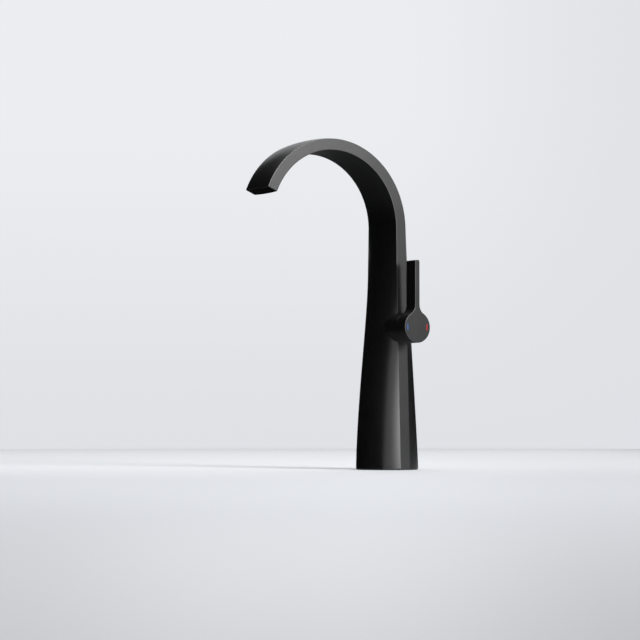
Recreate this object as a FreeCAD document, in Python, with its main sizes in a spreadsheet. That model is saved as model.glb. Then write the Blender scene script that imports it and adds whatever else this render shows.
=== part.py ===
import FreeCAD, Part
import math
import os
import Sketcher

# A tall basin mixer tap. The frame stands on the deck: the origin is the centre of the foot,
# Z points up, the spout leans towards -Y and the lever sits on the +X side. Sizes in millimetres.

doc = FreeCAD.newDocument("basin_mixer")
sheet = doc.addObject("Spreadsheet::Sheet", "dims")

DIMENSIONS = [
    # the bent band that makes column and spout
    ("foot_radius", 31.6),
    ("foot_half_width", 31.5),
    ("neck_half_width", 24.4),
    ("nozzle_half_width", 20.6),
    ("band_thickness", 11.3),
    ("neck_height", 245.5),
    ("bend_radius", 78.85),
    ("bend_angle", 157.7),
    ("nozzle_crown", 1.2),
    ("front_fade", 288),
    ("front_power", 1.68),
    ("front_tail", 1.65),
    ("rear_fade", 385),
    ("rear_power", 1.2),
    ("rear_tail", 1.2),
    ("shell_wall", 2.2),
    ("edge_round", 0.5),
    # the foot and what closes it
    ("deck_seal_height", 1.0),
    ("deck_seal_radius", 30.4),
    ("deck_hole_radius", 18.5),
    ("foot_plate_radius", 28.2),
    ("foot_plate_height", 6),
    ("foot_hub_radius", 17),
    ("foot_hub_height", 17),
    ("port_spacing", 12),
    ("port_thread_radius", 4.5),
    ("port_thread_depth", 10),
    ("stud_offset", 11.5),
    ("stud_thread_radius", 3.4),
    ("stud_thread_depth", 13),
    ("foot_screw_offset", 24),
    ("foot_screw_radius", 2),
    ("foot_screw_length", 13),
    ("foot_screw_head_radius", 3.6),
    ("foot_screw_head_height", 2.6),
    ("lug_radius", 5.6),
    ("lug_height", 13),
    # the water tubes
    ("inlet_tube_radius", 4),
    ("inlet_tube_wall", 0.9),
    ("spout_tube_radius", 3.5),
    ("spout_tube_wall", 1),
    ("socket_depth", 5),
    ("ring_section", 1.3),
    ("slip", 0.05),
    # the side hub and the valve block
    ("hub_height", 143),
    ("hub_radius", 15.66),
    ("hub_start", 14),
    ("hub_end", 30),
    ("block_radius", 14.2),
    ("block_back", 6),
    ("block_front", 33),
    ("block_flange_radius", 15.4),
    ("block_flange_thickness", 3.5),
    ("block_flange_half_width", 13.6),
    ("chamber_radius", 12.6),
    ("chamber_floor", 6),
    ("port_radius", 2),
    ("inlet_port_drop", 4),
    ("outlet_port_rise", 6.5),
    # the cartridge, counted outwards from the chamber floor
    ("cartridge_clearance", 0.1),
    ("port_seal_height", 1.4),
    ("port_seal_proud", 0.4),
    ("port_seal_outer", 3.8),
    ("port_seal_inner", 2.4),
    ("cartridge_base_height", 4),
    ("disc_height", 3),
    ("disc_film", 0.05),
    ("fixed_disc_radius", 10.6),
    ("moving_disc_radius", 8),
    ("mixing_hollow_radius", 5),
    ("mixing_hollow_depth", 1.4),
    ("carrier_height", 2),
    ("carrier_eye_radius", 2.25),
    ("case_bore_radius", 10.8),
    ("case_neck_radius", 9.6),
    ("neck_bore_radius", 7.5),
    ("case_shoulder", 2),
    ("case_neck_length", 5),
    ("turret_flange_radius", 10.4),
    ("turret_flange_height", 0.7),
    ("turret_air", 0.3),
    ("turret_nose", 2.5),
    ("turret_slot_width", 5.6),
    ("turret_slot_height", 9.2),
    ("turret_ring_width", 1.4),
    ("turret_ring_depth", 1.2),
    ("nut_height", 6),
    ("nut_slot", 3),
    # the lever and its spindle, around the tilting pivot
    ("pivot_reach", 24.2),
    ("pivot_pin_radius", 1.2),
    ("pivot_pin_length", 14.2),
    ("pivot_play", 0.1),
    ("dome_radius", 20),
    ("dome_wall", 2.5),
    ("dome_opening", 9.6),
    ("cup_radius", 20.4),
    ("lever_front", 52.46),
    ("blade_width", 5.62),
    ("blade_reach", 67.5),
    ("blade_fillet", 10.6),
    ("blade_corner", 1),
    ("lever_round", 0.5),
    ("spindle_width", 5),
    ("spindle_height", 4.4),
    ("spindle_back", 3.2),
    ("spindle_end", 49.4),
    ("finger_radius", 1.6),
    ("finger_reach", 7.25),
    ("grub_place", 47.2),
    ("grub_radius", 2),
    ("grub_length", 7),
    ("grub_hex", 2),
    ("cap_depth", 3),
    ("cap_sunk", 0.4),
    ("mark_radius", 12),
    ("mark_width", 2.2),
    ("mark_angle", 22),
    ("mark_depth", 0.4),
    # the outlet
    ("aerator_sunk", 0.8),
    ("aerator_depth", 5),
    ("aerator_seal_height", 1),
    ("aerator_gap", 0.15),
    ("pocket_step", 0.2),
    ("aerator_lip", 2.6),
    ("aerator_slot_height", 4.8),
    ("jet_radius", 0.7),
    ("jet_pitch", 2.6),
    ("jet_row", 2.2),
    ("jet_count", 12),
    ("manifold_depth", 11),
    ("manifold_gap", 0.25),
    ("tube_stop", 12.5),
]
for row, (alias, size) in enumerate(DIMENSIONS, 1):
    sheet.set(f"A{row}", alias)
    sheet.set(f"B{row}", str(size))
    sheet.setAlias(f"B{row}", alias)
doc.recompute()


def number(text):
    """The present value of an expression over the sheet."""
    found = sheet.evalExpression(text)
    return float(getattr(found, "Value", found))


def bind(thing, **expressions):
    """Tie plain properties of an object to the sheet."""
    for prop, text in expressions.items():
        thing.setExpression(prop, text)


def move(thing, x="0", y="0", z="0"):
    """Tie the place of an object to the sheet."""
    for axis, text in (("x", x), ("y", y), ("z", z)):
        thing.setExpression(f"Placement.Base.{axis}", text)


X_AXIS = FreeCAD.Vector(1, 0, 0)
Y_AXIS = FreeCAD.Vector(0, 1, 0)
ALONG = {
    "X": FreeCAD.Rotation(Y_AXIS, 90),
    "Y": FreeCAD.Rotation(X_AXIS, -90),
    "Z": FreeCAD.Rotation(),
    "-Z": FreeCAD.Rotation(X_AXIS, 180),
}
HUB = "dims.hub_height"


def cylinder(name, radius, length, x="0", y="0", z="0", along="Z"):
    made = doc.addObject("Part::Cylinder", name)
    bind(made, Radius=radius, Height=length)
    made.Placement = FreeCAD.Placement(FreeCAD.Vector(), ALONG[along])
    move(made, x, y, z)
    return made


def box(name, length, width, height, x, y, z):
    """A box whose first corner in X and whose middle in Y and Z are given."""
    made = doc.addObject("Part::Box", name)
    bind(made, Length=length, Width=width, Height=height)
    move(made, x, f"{y} - ({width}) / 2", f"{z} - ({height}) / 2")
    return made


def ring(name, middle, section, x="0", y="0", z="0"):
    """A round sealing ring lying flat."""
    made = doc.addObject("Part::Torus", name)
    bind(made, Radius1=middle, Radius2=section)
    move(made, x, y, z)
    return made


def joined(name, pieces):
    made = doc.addObject("Part::MultiFuse", name)
    made.Shapes = pieces
    return made


def cut(name, blank, tools):
    made = doc.addObject("Part::Cut", name)
    made.Base = blank
    made.Tool = tools[0] if len(tools) == 1 else joined(f"{name}_tools", tools)
    return made


def arc_between(start, end, radius, side):
    """The shorter or, for a negative radius, longer arc; side is +1 when it turns left."""
    chord = end - start
    middle = (start + end) * 0.5
    across = FreeCAD.Vector(-chord.y, chord.x, 0).normalize()
    size = abs(radius)
    rise = math.sqrt(max(size ** 2 - (chord.Length / 2) ** 2, 0))
    centre = middle + across * rise * side * (1 if radius > 0 else -1)
    first, last = (start, end) if side > 0 else (end, start)
    angles = [math.atan2(p.y - centre.y, p.x - centre.x) for p in (first, last)]
    return Part.ArcOfCircle(Part.Circle(centre, FreeCAD.Vector(0, 0, 1), size), *angles)


def outline(sketch, corners):
    """A closed outline. A corner is (x, y), or (x, y, radius, side) when an arc leaves it."""
    points = [FreeCAD.Vector(number(c[0]), number(c[1]), 0) for c in corners]
    ends = []
    for index, corner in enumerate(corners):
        start = points[index]
        end = points[(index + 1) % len(points)]
        if len(corner) == 2:
            sketch.addGeometry(Part.LineSegment(start, end), False)
            ends.append((1, 2))
        else:
            large = -1 if len(corner) == 5 else 1
            sketch.addGeometry(arc_between(start, end, large * number(corner[2]), corner[3]), False)
            ends.append((1, 2) if corner[3] > 0 else (2, 1))
    for index in range(len(corners)):
        after = (index + 1) % len(corners)
        sketch.addConstraint(
            Sketcher.Constraint("Coincident", index, ends[index][1], after, ends[after][0]))
    for index, corner in enumerate(corners):
        for way, text in (("DistanceX", corner[0]), ("DistanceY", corner[1])):
            made = sketch.addConstraint(
                Sketcher.Constraint(way, -1, 1, index, ends[index][0], number(text)))
            sketch.setExpression(f"Constraints[{made}]", text)
        if len(corner) > 2:
            made = sketch.addConstraint(Sketcher.Constraint("Radius", index, number(corner[2])))
            sketch.setExpression(f"Constraints[{made}]", corner[2])


def body_sketch(body, name, plane):
    sketch = body.newObject("Sketcher::SketchObject", name)
    origin = [o for o in body.Origin.OriginFeatures if o.Role == plane][0]
    sketch.AttachmentSupport = (origin, [""])
    sketch.MapMode = "FlatFace"
    return sketch


def turned(name, corners, axis="H_Axis", z="0"):
    """A body turned about X (H_Axis) or about Z (V_Axis) from a half outline in the XZ plane."""
    body = doc.addObject("PartDesign::Body", name)
    sketch = body_sketch(body, f"{name}_outline", "XZ_Plane")
    outline(sketch, corners)
    spun = body.newObject("PartDesign::Revolution", f"{name}_turning")
    spun.Profile = sketch
    spun.ReferenceAxis = (sketch, [axis])
    spun.Angle = 360
    body.Tip = spun
    move(body, z=z)
    return body


def padded(name, corners, start, length):
    """A body padded along X from an outline in the YZ plane, centred on the hub axis."""
    body = doc.addObject("PartDesign::Body", name)
    sketch = body_sketch(body, f"{name}_outline", "YZ_Plane")
    outline(sketch, corners)
    pad = body.newObject("PartDesign::Pad", f"{name}_pad")
    pad.Profile = sketch
    bind(pad, Length=length)
    body.Tip = pad
    move(body, start, "0", HUB)
    return body


# The path runs straight up to the neck, then round the bend. "run" is the length along it.
BEND_RUN = "(dims.bend_radius * dims.bend_angle * pi / 180)"
WHOLE_RUN = f"(dims.neck_height + {BEND_RUN})"
FOOT_CROWN = "(dims.foot_radius - dims.band_thickness / 2)"


def half_width(run):
    """A smooth taper through the foot, neck and nozzle widths."""
    neck = "dims.neck_height"
    foot_part = f"dims.foot_half_width * ({run} - {neck}) * ({run} - {WHOLE_RUN}) / ({neck} * {WHOLE_RUN})"
    neck_part = f"dims.neck_half_width * {run} * ({WHOLE_RUN} - {run}) / ({neck} * {BEND_RUN})"
    tip_part = f"dims.nozzle_half_width * {run} * ({run} - {neck}) / ({WHOLE_RUN} * {BEND_RUN})"
    return f"({foot_part} + {neck_part} + {tip_part})"


def crown(run, face):
    """How far the front or rear face swells beyond the edges of the band."""
    share = f"min(1; {run} / dims.{face}_fade) ^ dims.{face}_power"
    swell = f"({FOOT_CROWN} - dims.nozzle_crown) * (1 - {share}) ^ dims.{face}_tail"
    return f"(dims.nozzle_crown + {swell})"


def section(name, run, turn, inset="0", slide="0"):
    """A cross-section of the band, square to its path: two flat edges and two crowned faces."""
    sketch = doc.addObject("Sketcher::SketchObject", name)
    side = f"({half_width(run)} - ({inset}))"
    edge = f"(dims.band_thickness / 2 - ({inset}))"
    rear = crown(run, "rear")
    front = crown(run, "front")
    rear_radius = f"({side} ^ 2 + {rear} ^ 2) / (2 * {rear})"
    front_radius = f"({side} ^ 2 + {front} ^ 2) / (2 * {front})"
    outline(sketch, [
        (side, f"-{edge}"),
        (side, edge, rear_radius, 1),
        ("0", f"{edge} + {rear}", rear_radius, 1),
        (f"-{side}", edge),
        (f"-{side}", f"-{edge}", front_radius, 1),
        ("0", f"-({edge} + {front})", front_radius, 1),
    ])
    sketch.Placement = FreeCAD.Placement(FreeCAD.Vector(), FreeCAD.Rotation(X_AXIS, number(turn)))
    rise = f"min({run}; dims.neck_height) + dims.bend_radius * sin({turn} * 1 deg)"
    move(sketch,
         y=f"-dims.bend_radius * (1 - cos({turn} * 1 deg)) - ({slide}) * sin({turn} * 1 deg)",
         z=f"{rise} + ({slide}) * cos({turn} * 1 deg)")
    sketch.setExpression("Placement.Rotation.Angle", f"{turn} * 1 deg")
    return sketch


def turn_before_tip(length):
    """The bend angle at a given length before the nozzle."""
    return f"(dims.bend_angle - ({length}) / dims.bend_radius * 180 / pi)"


def bend_section(name, turn, inset="0", slide="0"):
    return section(name, f"(dims.neck_height + dims.bend_radius * {turn} * pi / 180)", turn, inset, slide)


COLUMN_STEPS = 16
BEND_STEPS = 14


def band(name, inset):
    """The whole bent band as one smooth solid, or its hollow when inset."""
    stations = []
    for step in range(COLUMN_STEPS):
        rise = f"(dims.neck_height - dims.deck_seal_height) * {step} / {COLUMN_STEPS}"
        stations.append(section(f"{name}_column_{step}", f"(dims.deck_seal_height + {rise})", "0", inset))
    for step in range(BEND_STEPS + 1):
        turn = f"(dims.bend_angle * {step} / {BEND_STEPS})"
        stations.append(bend_section(f"{name}_bend_{step}", turn, inset))
    made = doc.addObject("Part::Loft", name)
    made.Sections = stations
    made.Solid = True
    made.Ruled = False
    return made


def slab(name, inset, start, length):
    """A straight slice with the nozzle's outline; start is counted inwards from the mouth."""
    made = doc.addObject("Part::Extrusion", name)
    made.Base = bend_section(f"{name}_outline", "dims.bend_angle", inset, f"-({start})")
    made.DirMode = "Normal"
    made.Solid = True
    bind(made, LengthFwd=length)
    return made


TIP_SIN = "sin(dims.bend_angle * 1 deg)"
TIP_COS = "cos(dims.bend_angle * 1 deg)"


def tip_frame(thing, x, across, inward):
    """Place something in the nozzle's own frame: its Z leaves the mouth, its Y points outwards."""
    thing.Placement = FreeCAD.Placement(
        FreeCAD.Vector(), FreeCAD.Rotation(X_AXIS, number("dims.bend_angle")))
    thing.setExpression("Placement.Rotation.Angle", "dims.bend_angle * 1 deg")
    mouth_y = f"-dims.bend_radius * (1 - {TIP_COS})"
    mouth_z = f"dims.neck_height + dims.bend_radius * {TIP_SIN}"
    move(thing, x,
         f"{mouth_y} + ({across}) * {TIP_COS} + ({inward}) * {TIP_SIN}",
         f"{mouth_z} + ({across}) * {TIP_SIN} - ({inward}) * {TIP_COS}")


def tip_box(name, length, width, start, depth):
    """A box in the nozzle's frame, from start inwards of the mouth, depth towards the mouth."""
    made = doc.addObject("Part::Box", name)
    bind(made, Length=length, Width=width, Height=depth)
    tip_frame(made, f"-({length}) / 2", f"-({width}) / 2", start)
    return made


def bend_pipe(name, radius, turn):
    """Part of a round pipe that follows the bend from the neck."""
    made = doc.addObject("Part::Torus", name)
    bind(made, Radius1="dims.bend_radius", Radius2=radius, Angle3=f"{turn} * 1 deg")
    made.Placement = FreeCAD.Placement(
        FreeCAD.Vector(), FreeCAD.Rotation(FreeCAD.Vector(1, 1, 1), 120))
    move(made, "0", "-dims.bend_radius", "dims.neck_height")
    return made


nodes = {}

# Body shell: the hollow bent band with its side hub and two lugs for the foot screws.
outer = band("outer_band", "0")
hollow = band("band_hollow", "dims.shell_wall")
doc.recompute()
rounded = doc.addObject("Part::Fillet", "rounded_band")
rounded.Base = outer
long_edges = sorted(range(len(outer.Shape.Edges)), key=lambda i: -outer.Shape.Edges[i].Length)
creases = [i for i in long_edges
           if abs(outer.Shape.Edges[i].CenterOfMass.x) > number("dims.nozzle_half_width") / 2
           and outer.Shape.Edges[i].Length > number("dims.neck_height")]
round_size = number("dims.edge_round")
rounded.Edges = [(i + 1, round_size, round_size) for i in creases]

hub = turned("hub_blank", [
    ("dims.hub_start", "0"),
    ("dims.hub_end", "0"),
    ("dims.hub_end", "dims.hub_radius - 0.2"),
    ("dims.hub_end - 0.2", "dims.hub_radius"),
    ("dims.hub_start", "dims.hub_radius"),
], z=HUB)
PLATE_TOP = "(dims.deck_seal_height + dims.foot_plate_height)"
lugs = []
lug_holes = []
for side, sign in (("right", ""), ("left", "-")):
    place = f"{sign}dims.foot_screw_offset"
    lugs.append(cylinder(f"lug_{side}", "dims.lug_radius", "dims.lug_height", place, z=PLATE_TOP))
    lug_holes.append(cylinder(f"lug_hole_{side}", "dims.foot_screw_radius + dims.slip",
                              "dims.lug_height - 1", place, z=PLATE_TOP))
lug_pair = doc.addObject("Part::MultiCommon", "lug_pair")
lug_pair.Shapes = [joined("lug_blanks", lugs), outer]
AERATOR_BACK = "(dims.aerator_sunk + dims.aerator_depth + dims.aerator_seal_height)"
# The pocket is straight and the hollow is bent, so the pocket is wider by the bend's sag over its depth.
POCKET_SAG = f"({AERATOR_BACK} ^ 2 / (2 * dims.bend_radius))"
POCKET_INSET = f"(dims.shell_wall - dims.pocket_step - {POCKET_SAG})"
shell_blank = joined("shell_blank", [cut("hollow_band", rounded, [hollow]), hub, lug_pair])
nodes["body_shell"] = cut("body_shell", shell_blank, lug_holes + [
    cylinder("hub_bore", "dims.block_radius + dims.cartridge_clearance",
             "dims.hub_end - dims.hub_start + 8", "dims.hub_start - 4", "0", HUB, "X"),
    slab("aerator_pocket", POCKET_INSET, AERATOR_BACK, f"{AERATOR_BACK} + 1"),
])

# Foot: soft deck seal, screwed foot plate with the two inlet threads and the stud thread.
nodes["deck_seal"] = turned("deck_seal", [
    ("dims.deck_hole_radius", "0"),
    ("dims.deck_seal_radius - 0.3", "0"),
    ("dims.deck_seal_radius", "0.3"),
    ("dims.deck_seal_radius", "dims.deck_seal_height"),
    ("dims.deck_hole_radius", "dims.deck_seal_height"),
], "V_Axis")
HUB_TOP = "(dims.deck_seal_height + dims.foot_hub_height)"
foot_blank = turned("foot_blank", [
    ("0", "dims.deck_seal_height"),
    ("dims.foot_plate_radius", "dims.deck_seal_height"),
    ("dims.foot_plate_radius", PLATE_TOP),
    ("dims.foot_hub_radius + 1", PLATE_TOP),
    ("dims.foot_hub_radius", f"{PLATE_TOP} + 1"),
    ("dims.foot_hub_radius", f"{HUB_TOP} - 1"),
    ("dims.foot_hub_radius - 1", HUB_TOP),
    ("0", HUB_TOP),
], "V_Axis")
RING_HALF = "(dims.ring_section / 2)"
INLET_RING = f"(dims.inlet_tube_radius + dims.slip + {RING_HALF})"
SPOUT_RING = f"(dims.spout_tube_radius + dims.slip + {RING_HALF})"
INLET_GROOVE = "dims.inlet_tube_radius + dims.ring_section + 2 * dims.slip"
SPOUT_GROOVE = "dims.spout_tube_radius + dims.ring_section + 2 * dims.slip"
GROOVE_WIDTH = "(dims.ring_section + 2 * dims.slip)"
SOCKET_FLOOR = f"({HUB_TOP} - dims.socket_depth)"
FOOT_RING = f"({SOCKET_FLOOR} + dims.socket_depth * 0.55)"
BLOCK_SOCKET = f"({HUB} - dims.inlet_port_drop - 1)"
BLOCK_RING = f"({BLOCK_SOCKET} - dims.socket_depth * 0.7)"
SPOUT_SOCKET = f"({HUB} + dims.outlet_port_rise + 0.5)"
SPOUT_SEAL = f"({SPOUT_SOCKET} + dims.socket_depth * 0.7)"
SIDES = (("cold", "-"), ("hot", ""))
foot_cuts = [cylinder("stud_hole", "dims.stud_thread_radius", "dims.stud_thread_depth + 1",
                      "-dims.stud_offset", z="dims.deck_seal_height - 1")]
block_cuts = []
inlet_rings = []
for name, sign in SIDES:
    place = f"{sign}dims.port_spacing / 2"
    foot_cuts += [
        cylinder(f"{name}_thread", "dims.port_thread_radius", "dims.port_thread_depth + 1",
                 y=place, z="dims.deck_seal_height - 1"),
        cylinder(f"{name}_foot_way", "dims.inlet_tube_radius - dims.inlet_tube_wall",
                 "dims.foot_hub_height", y=place, z="dims.deck_seal_height"),
        cylinder(f"{name}_foot_socket", "dims.inlet_tube_radius + dims.slip", "dims.socket_depth + 1",
                 y=place, z=SOCKET_FLOOR),
        cylinder(f"{name}_foot_groove", INLET_GROOVE, GROOVE_WIDTH,
                 y=place, z=f"{FOOT_RING} - {GROOVE_WIDTH} / 2"),
    ]
    block_cuts += [
        cylinder(f"{name}_block_socket", "dims.inlet_tube_radius + dims.slip", "dims.block_radius",
                 y=place, z=BLOCK_SOCKET, along="-Z"),
        cylinder(f"{name}_block_groove", INLET_GROOVE, GROOVE_WIDTH,
                 y=place, z=f"{BLOCK_RING} - {GROOVE_WIDTH} / 2"),
        cylinder(f"{name}_block_port", "dims.port_radius", "dims.chamber_floor + 1",
                 "0", place, f"{HUB} - dims.inlet_port_drop", "X"),
    ]
    nodes[f"{name}_inlet_tube"] = cut(f"{name}_inlet_tube", cylinder(
        f"{name}_tube_outside", "dims.inlet_tube_radius", f"{BLOCK_SOCKET} - {SOCKET_FLOOR}",
        y=place, z=SOCKET_FLOOR), [cylinder(
            f"{name}_tube_inside", "dims.inlet_tube_radius - dims.inlet_tube_wall",
            f"{BLOCK_SOCKET} - {SOCKET_FLOOR}", y=place, z=SOCKET_FLOOR)])
    for end, height in (("foot", FOOT_RING), ("block", BLOCK_RING)):
        inlet_rings.append(ring(f"{name}_{end}_ring", INLET_RING, RING_HALF, y=place, z=height))
nodes["inlet_tube_seals"] = joined("inlet_tube_seals", inlet_rings)

foot_screws = []
for side, sign in (("right", ""), ("left", "-")):
    place = f"{sign}dims.foot_screw_offset"
    foot_cuts += [
        cylinder(f"foot_screw_hole_{side}", "dims.foot_screw_radius + 0.25", "dims.foot_plate_height + 2",
                 place, z="dims.deck_seal_height - 1"),
        cylinder(f"foot_screw_recess_{side}", "dims.foot_screw_head_radius + 0.2",
                 "dims.foot_screw_head_height + 1", place, z="dims.deck_seal_height - 1"),
    ]
    head = cylinder(f"foot_screw_head_{side}", "dims.foot_screw_head_radius",
                    "dims.foot_screw_head_height", place, z="dims.deck_seal_height")
    shank = cylinder(f"foot_screw_shank_{side}", "dims.foot_screw_radius",
                     "dims.foot_screw_head_height + dims.foot_screw_length", place,
                     z="dims.deck_seal_height")
    drive = cylinder(f"foot_screw_drive_{side}", "dims.foot_screw_radius * 0.7",
                     "dims.foot_screw_head_height * 0.7", place, z="dims.deck_seal_height")
    foot_screws.append(cut(f"foot_screw_{side}", joined(f"foot_screw_blank_{side}", [head, shank]), [drive]))
nodes["foot_screws"] = joined("foot_screws", foot_screws)
nodes["foot_plate"] = cut("foot_plate", foot_blank, foot_cuts)

# Valve block: drawn against the inner end of the hub, it holds the cartridge and meets the tubes.
block_blank = turned("block_blank", [
    ("-dims.block_back", "0"),
    ("dims.chamber_floor", "0"),
    ("dims.chamber_floor", "dims.chamber_radius"),
    ("dims.block_front", "dims.chamber_radius"),
    ("dims.block_front", "dims.block_radius"),
    ("dims.hub_start", "dims.block_radius"),
    ("dims.hub_start", "dims.block_flange_radius"),
    ("dims.hub_start - dims.block_flange_thickness", "dims.block_flange_radius"),
    ("dims.hub_start - dims.block_flange_thickness", "dims.block_radius"),
    ("1 - dims.block_back", "dims.block_radius"),
    ("-dims.block_back", "dims.block_radius - 1"),
], z=HUB)
flange_trims = []
for side, sign in (("front", "-"), ("rear", "")):
    width = "(dims.block_flange_radius - dims.block_flange_half_width + 1)"
    flange_trims.append(box(
        f"flange_trim_{side}", "dims.block_flange_thickness", width, "2 * dims.block_flange_radius",
        "dims.hub_start - dims.block_flange_thickness",
        f"{sign}(dims.block_flange_half_width + {width} / 2)", HUB))
block_cuts += flange_trims + [
    cylinder("spout_socket", "dims.spout_tube_radius + dims.slip", "dims.block_radius", z=SPOUT_SOCKET),
    cylinder("spout_groove", SPOUT_GROOVE, GROOVE_WIDTH, z=f"{SPOUT_SEAL} - {GROOVE_WIDTH} / 2"),
    cylinder("outlet_port", "dims.port_radius", "dims.chamber_floor + 1",
             "0", "0", f"{HUB} + dims.outlet_port_rise", "X"),
]
nodes["valve_block"] = cut("valve_block", block_blank, block_cuts)

# Spout tube: straight up the column, round the bend, into the manifold.
TUBE_TURN = turn_before_tip("dims.tube_stop")
TUBE_RISE = f"(dims.neck_height - {SPOUT_SOCKET})"
tube_pairs = {}
for part, radius in (("outside", "dims.spout_tube_radius"),
                     ("inside", "dims.spout_tube_radius - dims.spout_tube_wall")):
    tube_pairs[part] = joined(f"spout_tube_{part}", [
        cylinder(f"spout_tube_{part}_rise", radius, TUBE_RISE, z=SPOUT_SOCKET),
        bend_pipe(f"spout_tube_{part}_bend", radius, TUBE_TURN),
    ])
nodes["spout_tube"] = cut("spout_tube", tube_pairs["outside"], [tube_pairs["inside"]])
nodes["spout_tube_seal"] = ring("spout_tube_seal", SPOUT_RING, RING_HALF, z=SPOUT_SEAL)

# Outlet: a manifold spreads the tube's water, a soft seal and the aerator close the mouth.
manifold_blank = doc.addObject("Part::Loft", "manifold_blank")
MANIFOLD_END = f"({AERATOR_BACK} + dims.manifold_depth)"
MANIFOLD_INSET = "dims.shell_wall + dims.manifold_gap"
manifold_blank.Sections = [
    bend_section("manifold_back", turn_before_tip(MANIFOLD_END), MANIFOLD_INSET),
    bend_section("manifold_middle", turn_before_tip(f"{AERATOR_BACK} + dims.manifold_depth / 2"), MANIFOLD_INSET),
    bend_section("manifold_front", turn_before_tip(f"{AERATOR_BACK} - 1"), MANIFOLD_INSET),
]
manifold_blank.Solid = True
manifold_blank.Ruled = False
MOUTH_LENGTH = "2 * (dims.nozzle_half_width - dims.shell_wall - dims.aerator_lip)"
nodes["outlet_manifold"] = cut("outlet_manifold", manifold_blank, [
    tip_box("manifold_face", "3 * dims.nozzle_half_width", "3 * dims.band_thickness", AERATOR_BACK, "12"),
    bend_pipe("manifold_socket", "dims.spout_tube_radius + dims.slip", TUBE_TURN),
    tip_box("manifold_slot", f"{MOUTH_LENGTH} - 2", "dims.aerator_slot_height - 1",
            "dims.tube_stop + 1", f"dims.tube_stop + 1 - {AERATOR_BACK} + 0.5"),
])
MOUTH_INSET = f"{POCKET_INSET} + dims.aerator_gap"
nodes["aerator_seal"] = cut("aerator_seal", slab(
    "aerator_seal_blank", MOUTH_INSET, AERATOR_BACK, "dims.aerator_seal_height"), [
        tip_box("aerator_seal_window", f"{MOUTH_LENGTH} - 1", "dims.aerator_slot_height - 0.6",
                f"{AERATOR_BACK} + 1", "dims.aerator_seal_height + 2")])
GRID_BACK = "(dims.aerator_sunk + dims.aerator_depth)"
nodes["aerator_frame"] = cut("aerator_frame", slab(
    "aerator_frame_blank", MOUTH_INSET, GRID_BACK, "dims.aerator_depth"), [
        tip_box("aerator_window", MOUTH_LENGTH, "dims.aerator_slot_height",
                f"{GRID_BACK} + 1", "dims.aerator_depth + 2")])

grid = doc.addObject("PartDesign::Body", "aerator_grid")
grid_sketch = body_sketch(grid, "grid_outline", "XY_Plane")
GRID_X = f"({MOUTH_LENGTH} / 2 - dims.slip)"
GRID_Y = "(dims.aerator_slot_height / 2 - dims.slip)"
outline(grid_sketch, [
    (f"-{GRID_X}", f"-{GRID_Y}"),
    (GRID_X, f"-{GRID_Y}"),
    (GRID_X, GRID_Y),
    (f"-{GRID_X}", GRID_Y),
])
grid_pad = grid.newObject("PartDesign::Pad", "grid_pad")
grid_pad.Profile = grid_sketch
bind(grid_pad, Length="dims.aerator_depth - 0.6")
jet_sketch = body_sketch(grid, "jet_outline", "XY_Plane")
JET_START = "-dims.jet_pitch * (dims.jet_count - 1) / 2"
for index, sign in enumerate(("-", "")):
    row_place = f"{sign}dims.jet_row / 2"
    centre = FreeCAD.Vector(number(JET_START), number(row_place), 0)
    jet_sketch.addGeometry(
        Part.Circle(centre, FreeCAD.Vector(0, 0, 1), number("dims.jet_radius")), False)
    for way, text in (("DistanceX", JET_START), ("DistanceY", row_place)):
        made = jet_sketch.addConstraint(Sketcher.Constraint(way, -1, 1, index, 3, number(text)))
        jet_sketch.setExpression(f"Constraints[{made}]", text)
    made = jet_sketch.addConstraint(Sketcher.Constraint("Radius", index, number("dims.jet_radius")))
    jet_sketch.setExpression(f"Constraints[{made}]", "dims.jet_radius")
jets = grid.newObject("PartDesign::Pocket", "jets")
jets.Profile = jet_sketch
jets.Type = "ThroughAll"
jets.Reversed = True
doc.recompute()
jet_rows = grid.newObject("PartDesign::LinearPattern", "jet_rows")
jet_rows.Originals = [jets]
jet_rows.Direction = (jet_sketch, ["H_Axis"])
bind(jet_rows, Length="dims.jet_pitch * (dims.jet_count - 1)", Occurrences="dims.jet_count")
grid.Tip = jet_rows
tip_frame(grid, "0", "0", GRID_BACK)
nodes["aerator_grid"] = grid

# Cartridge: base with port seals, case, fixed disc, and the nut that holds it down.
CASE_OUTER = "(dims.chamber_radius - dims.cartridge_clearance)"
BASE_BACK = "(dims.chamber_floor + dims.port_seal_proud)"
FIXED_BACK = f"({BASE_BACK} + dims.cartridge_base_height)"
MOVING_BACK = f"({FIXED_BACK} + dims.disc_height + dims.disc_film)"
CARRIER_BACK = f"({MOVING_BACK} + dims.disc_height)"
TURRET_BACK = f"({CARRIER_BACK} + dims.carrier_height + dims.turret_air)"
NECK_BACK = f"({TURRET_BACK} + dims.turret_flange_height + dims.disc_film)"
SHOULDER = f"({NECK_BACK} + dims.case_shoulder)"
NECK_FRONT = f"({SHOULDER} + dims.case_neck_length)"
PORTS = (
    ("cold", "-dims.port_spacing / 2", f"{HUB} - dims.inlet_port_drop"),
    ("hot", "dims.port_spacing / 2", f"{HUB} - dims.inlet_port_drop"),
    ("outlet", "0", f"{HUB} + dims.outlet_port_rise"),
)
base_cuts = []
fixed_cuts = []
port_seals = []
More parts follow.
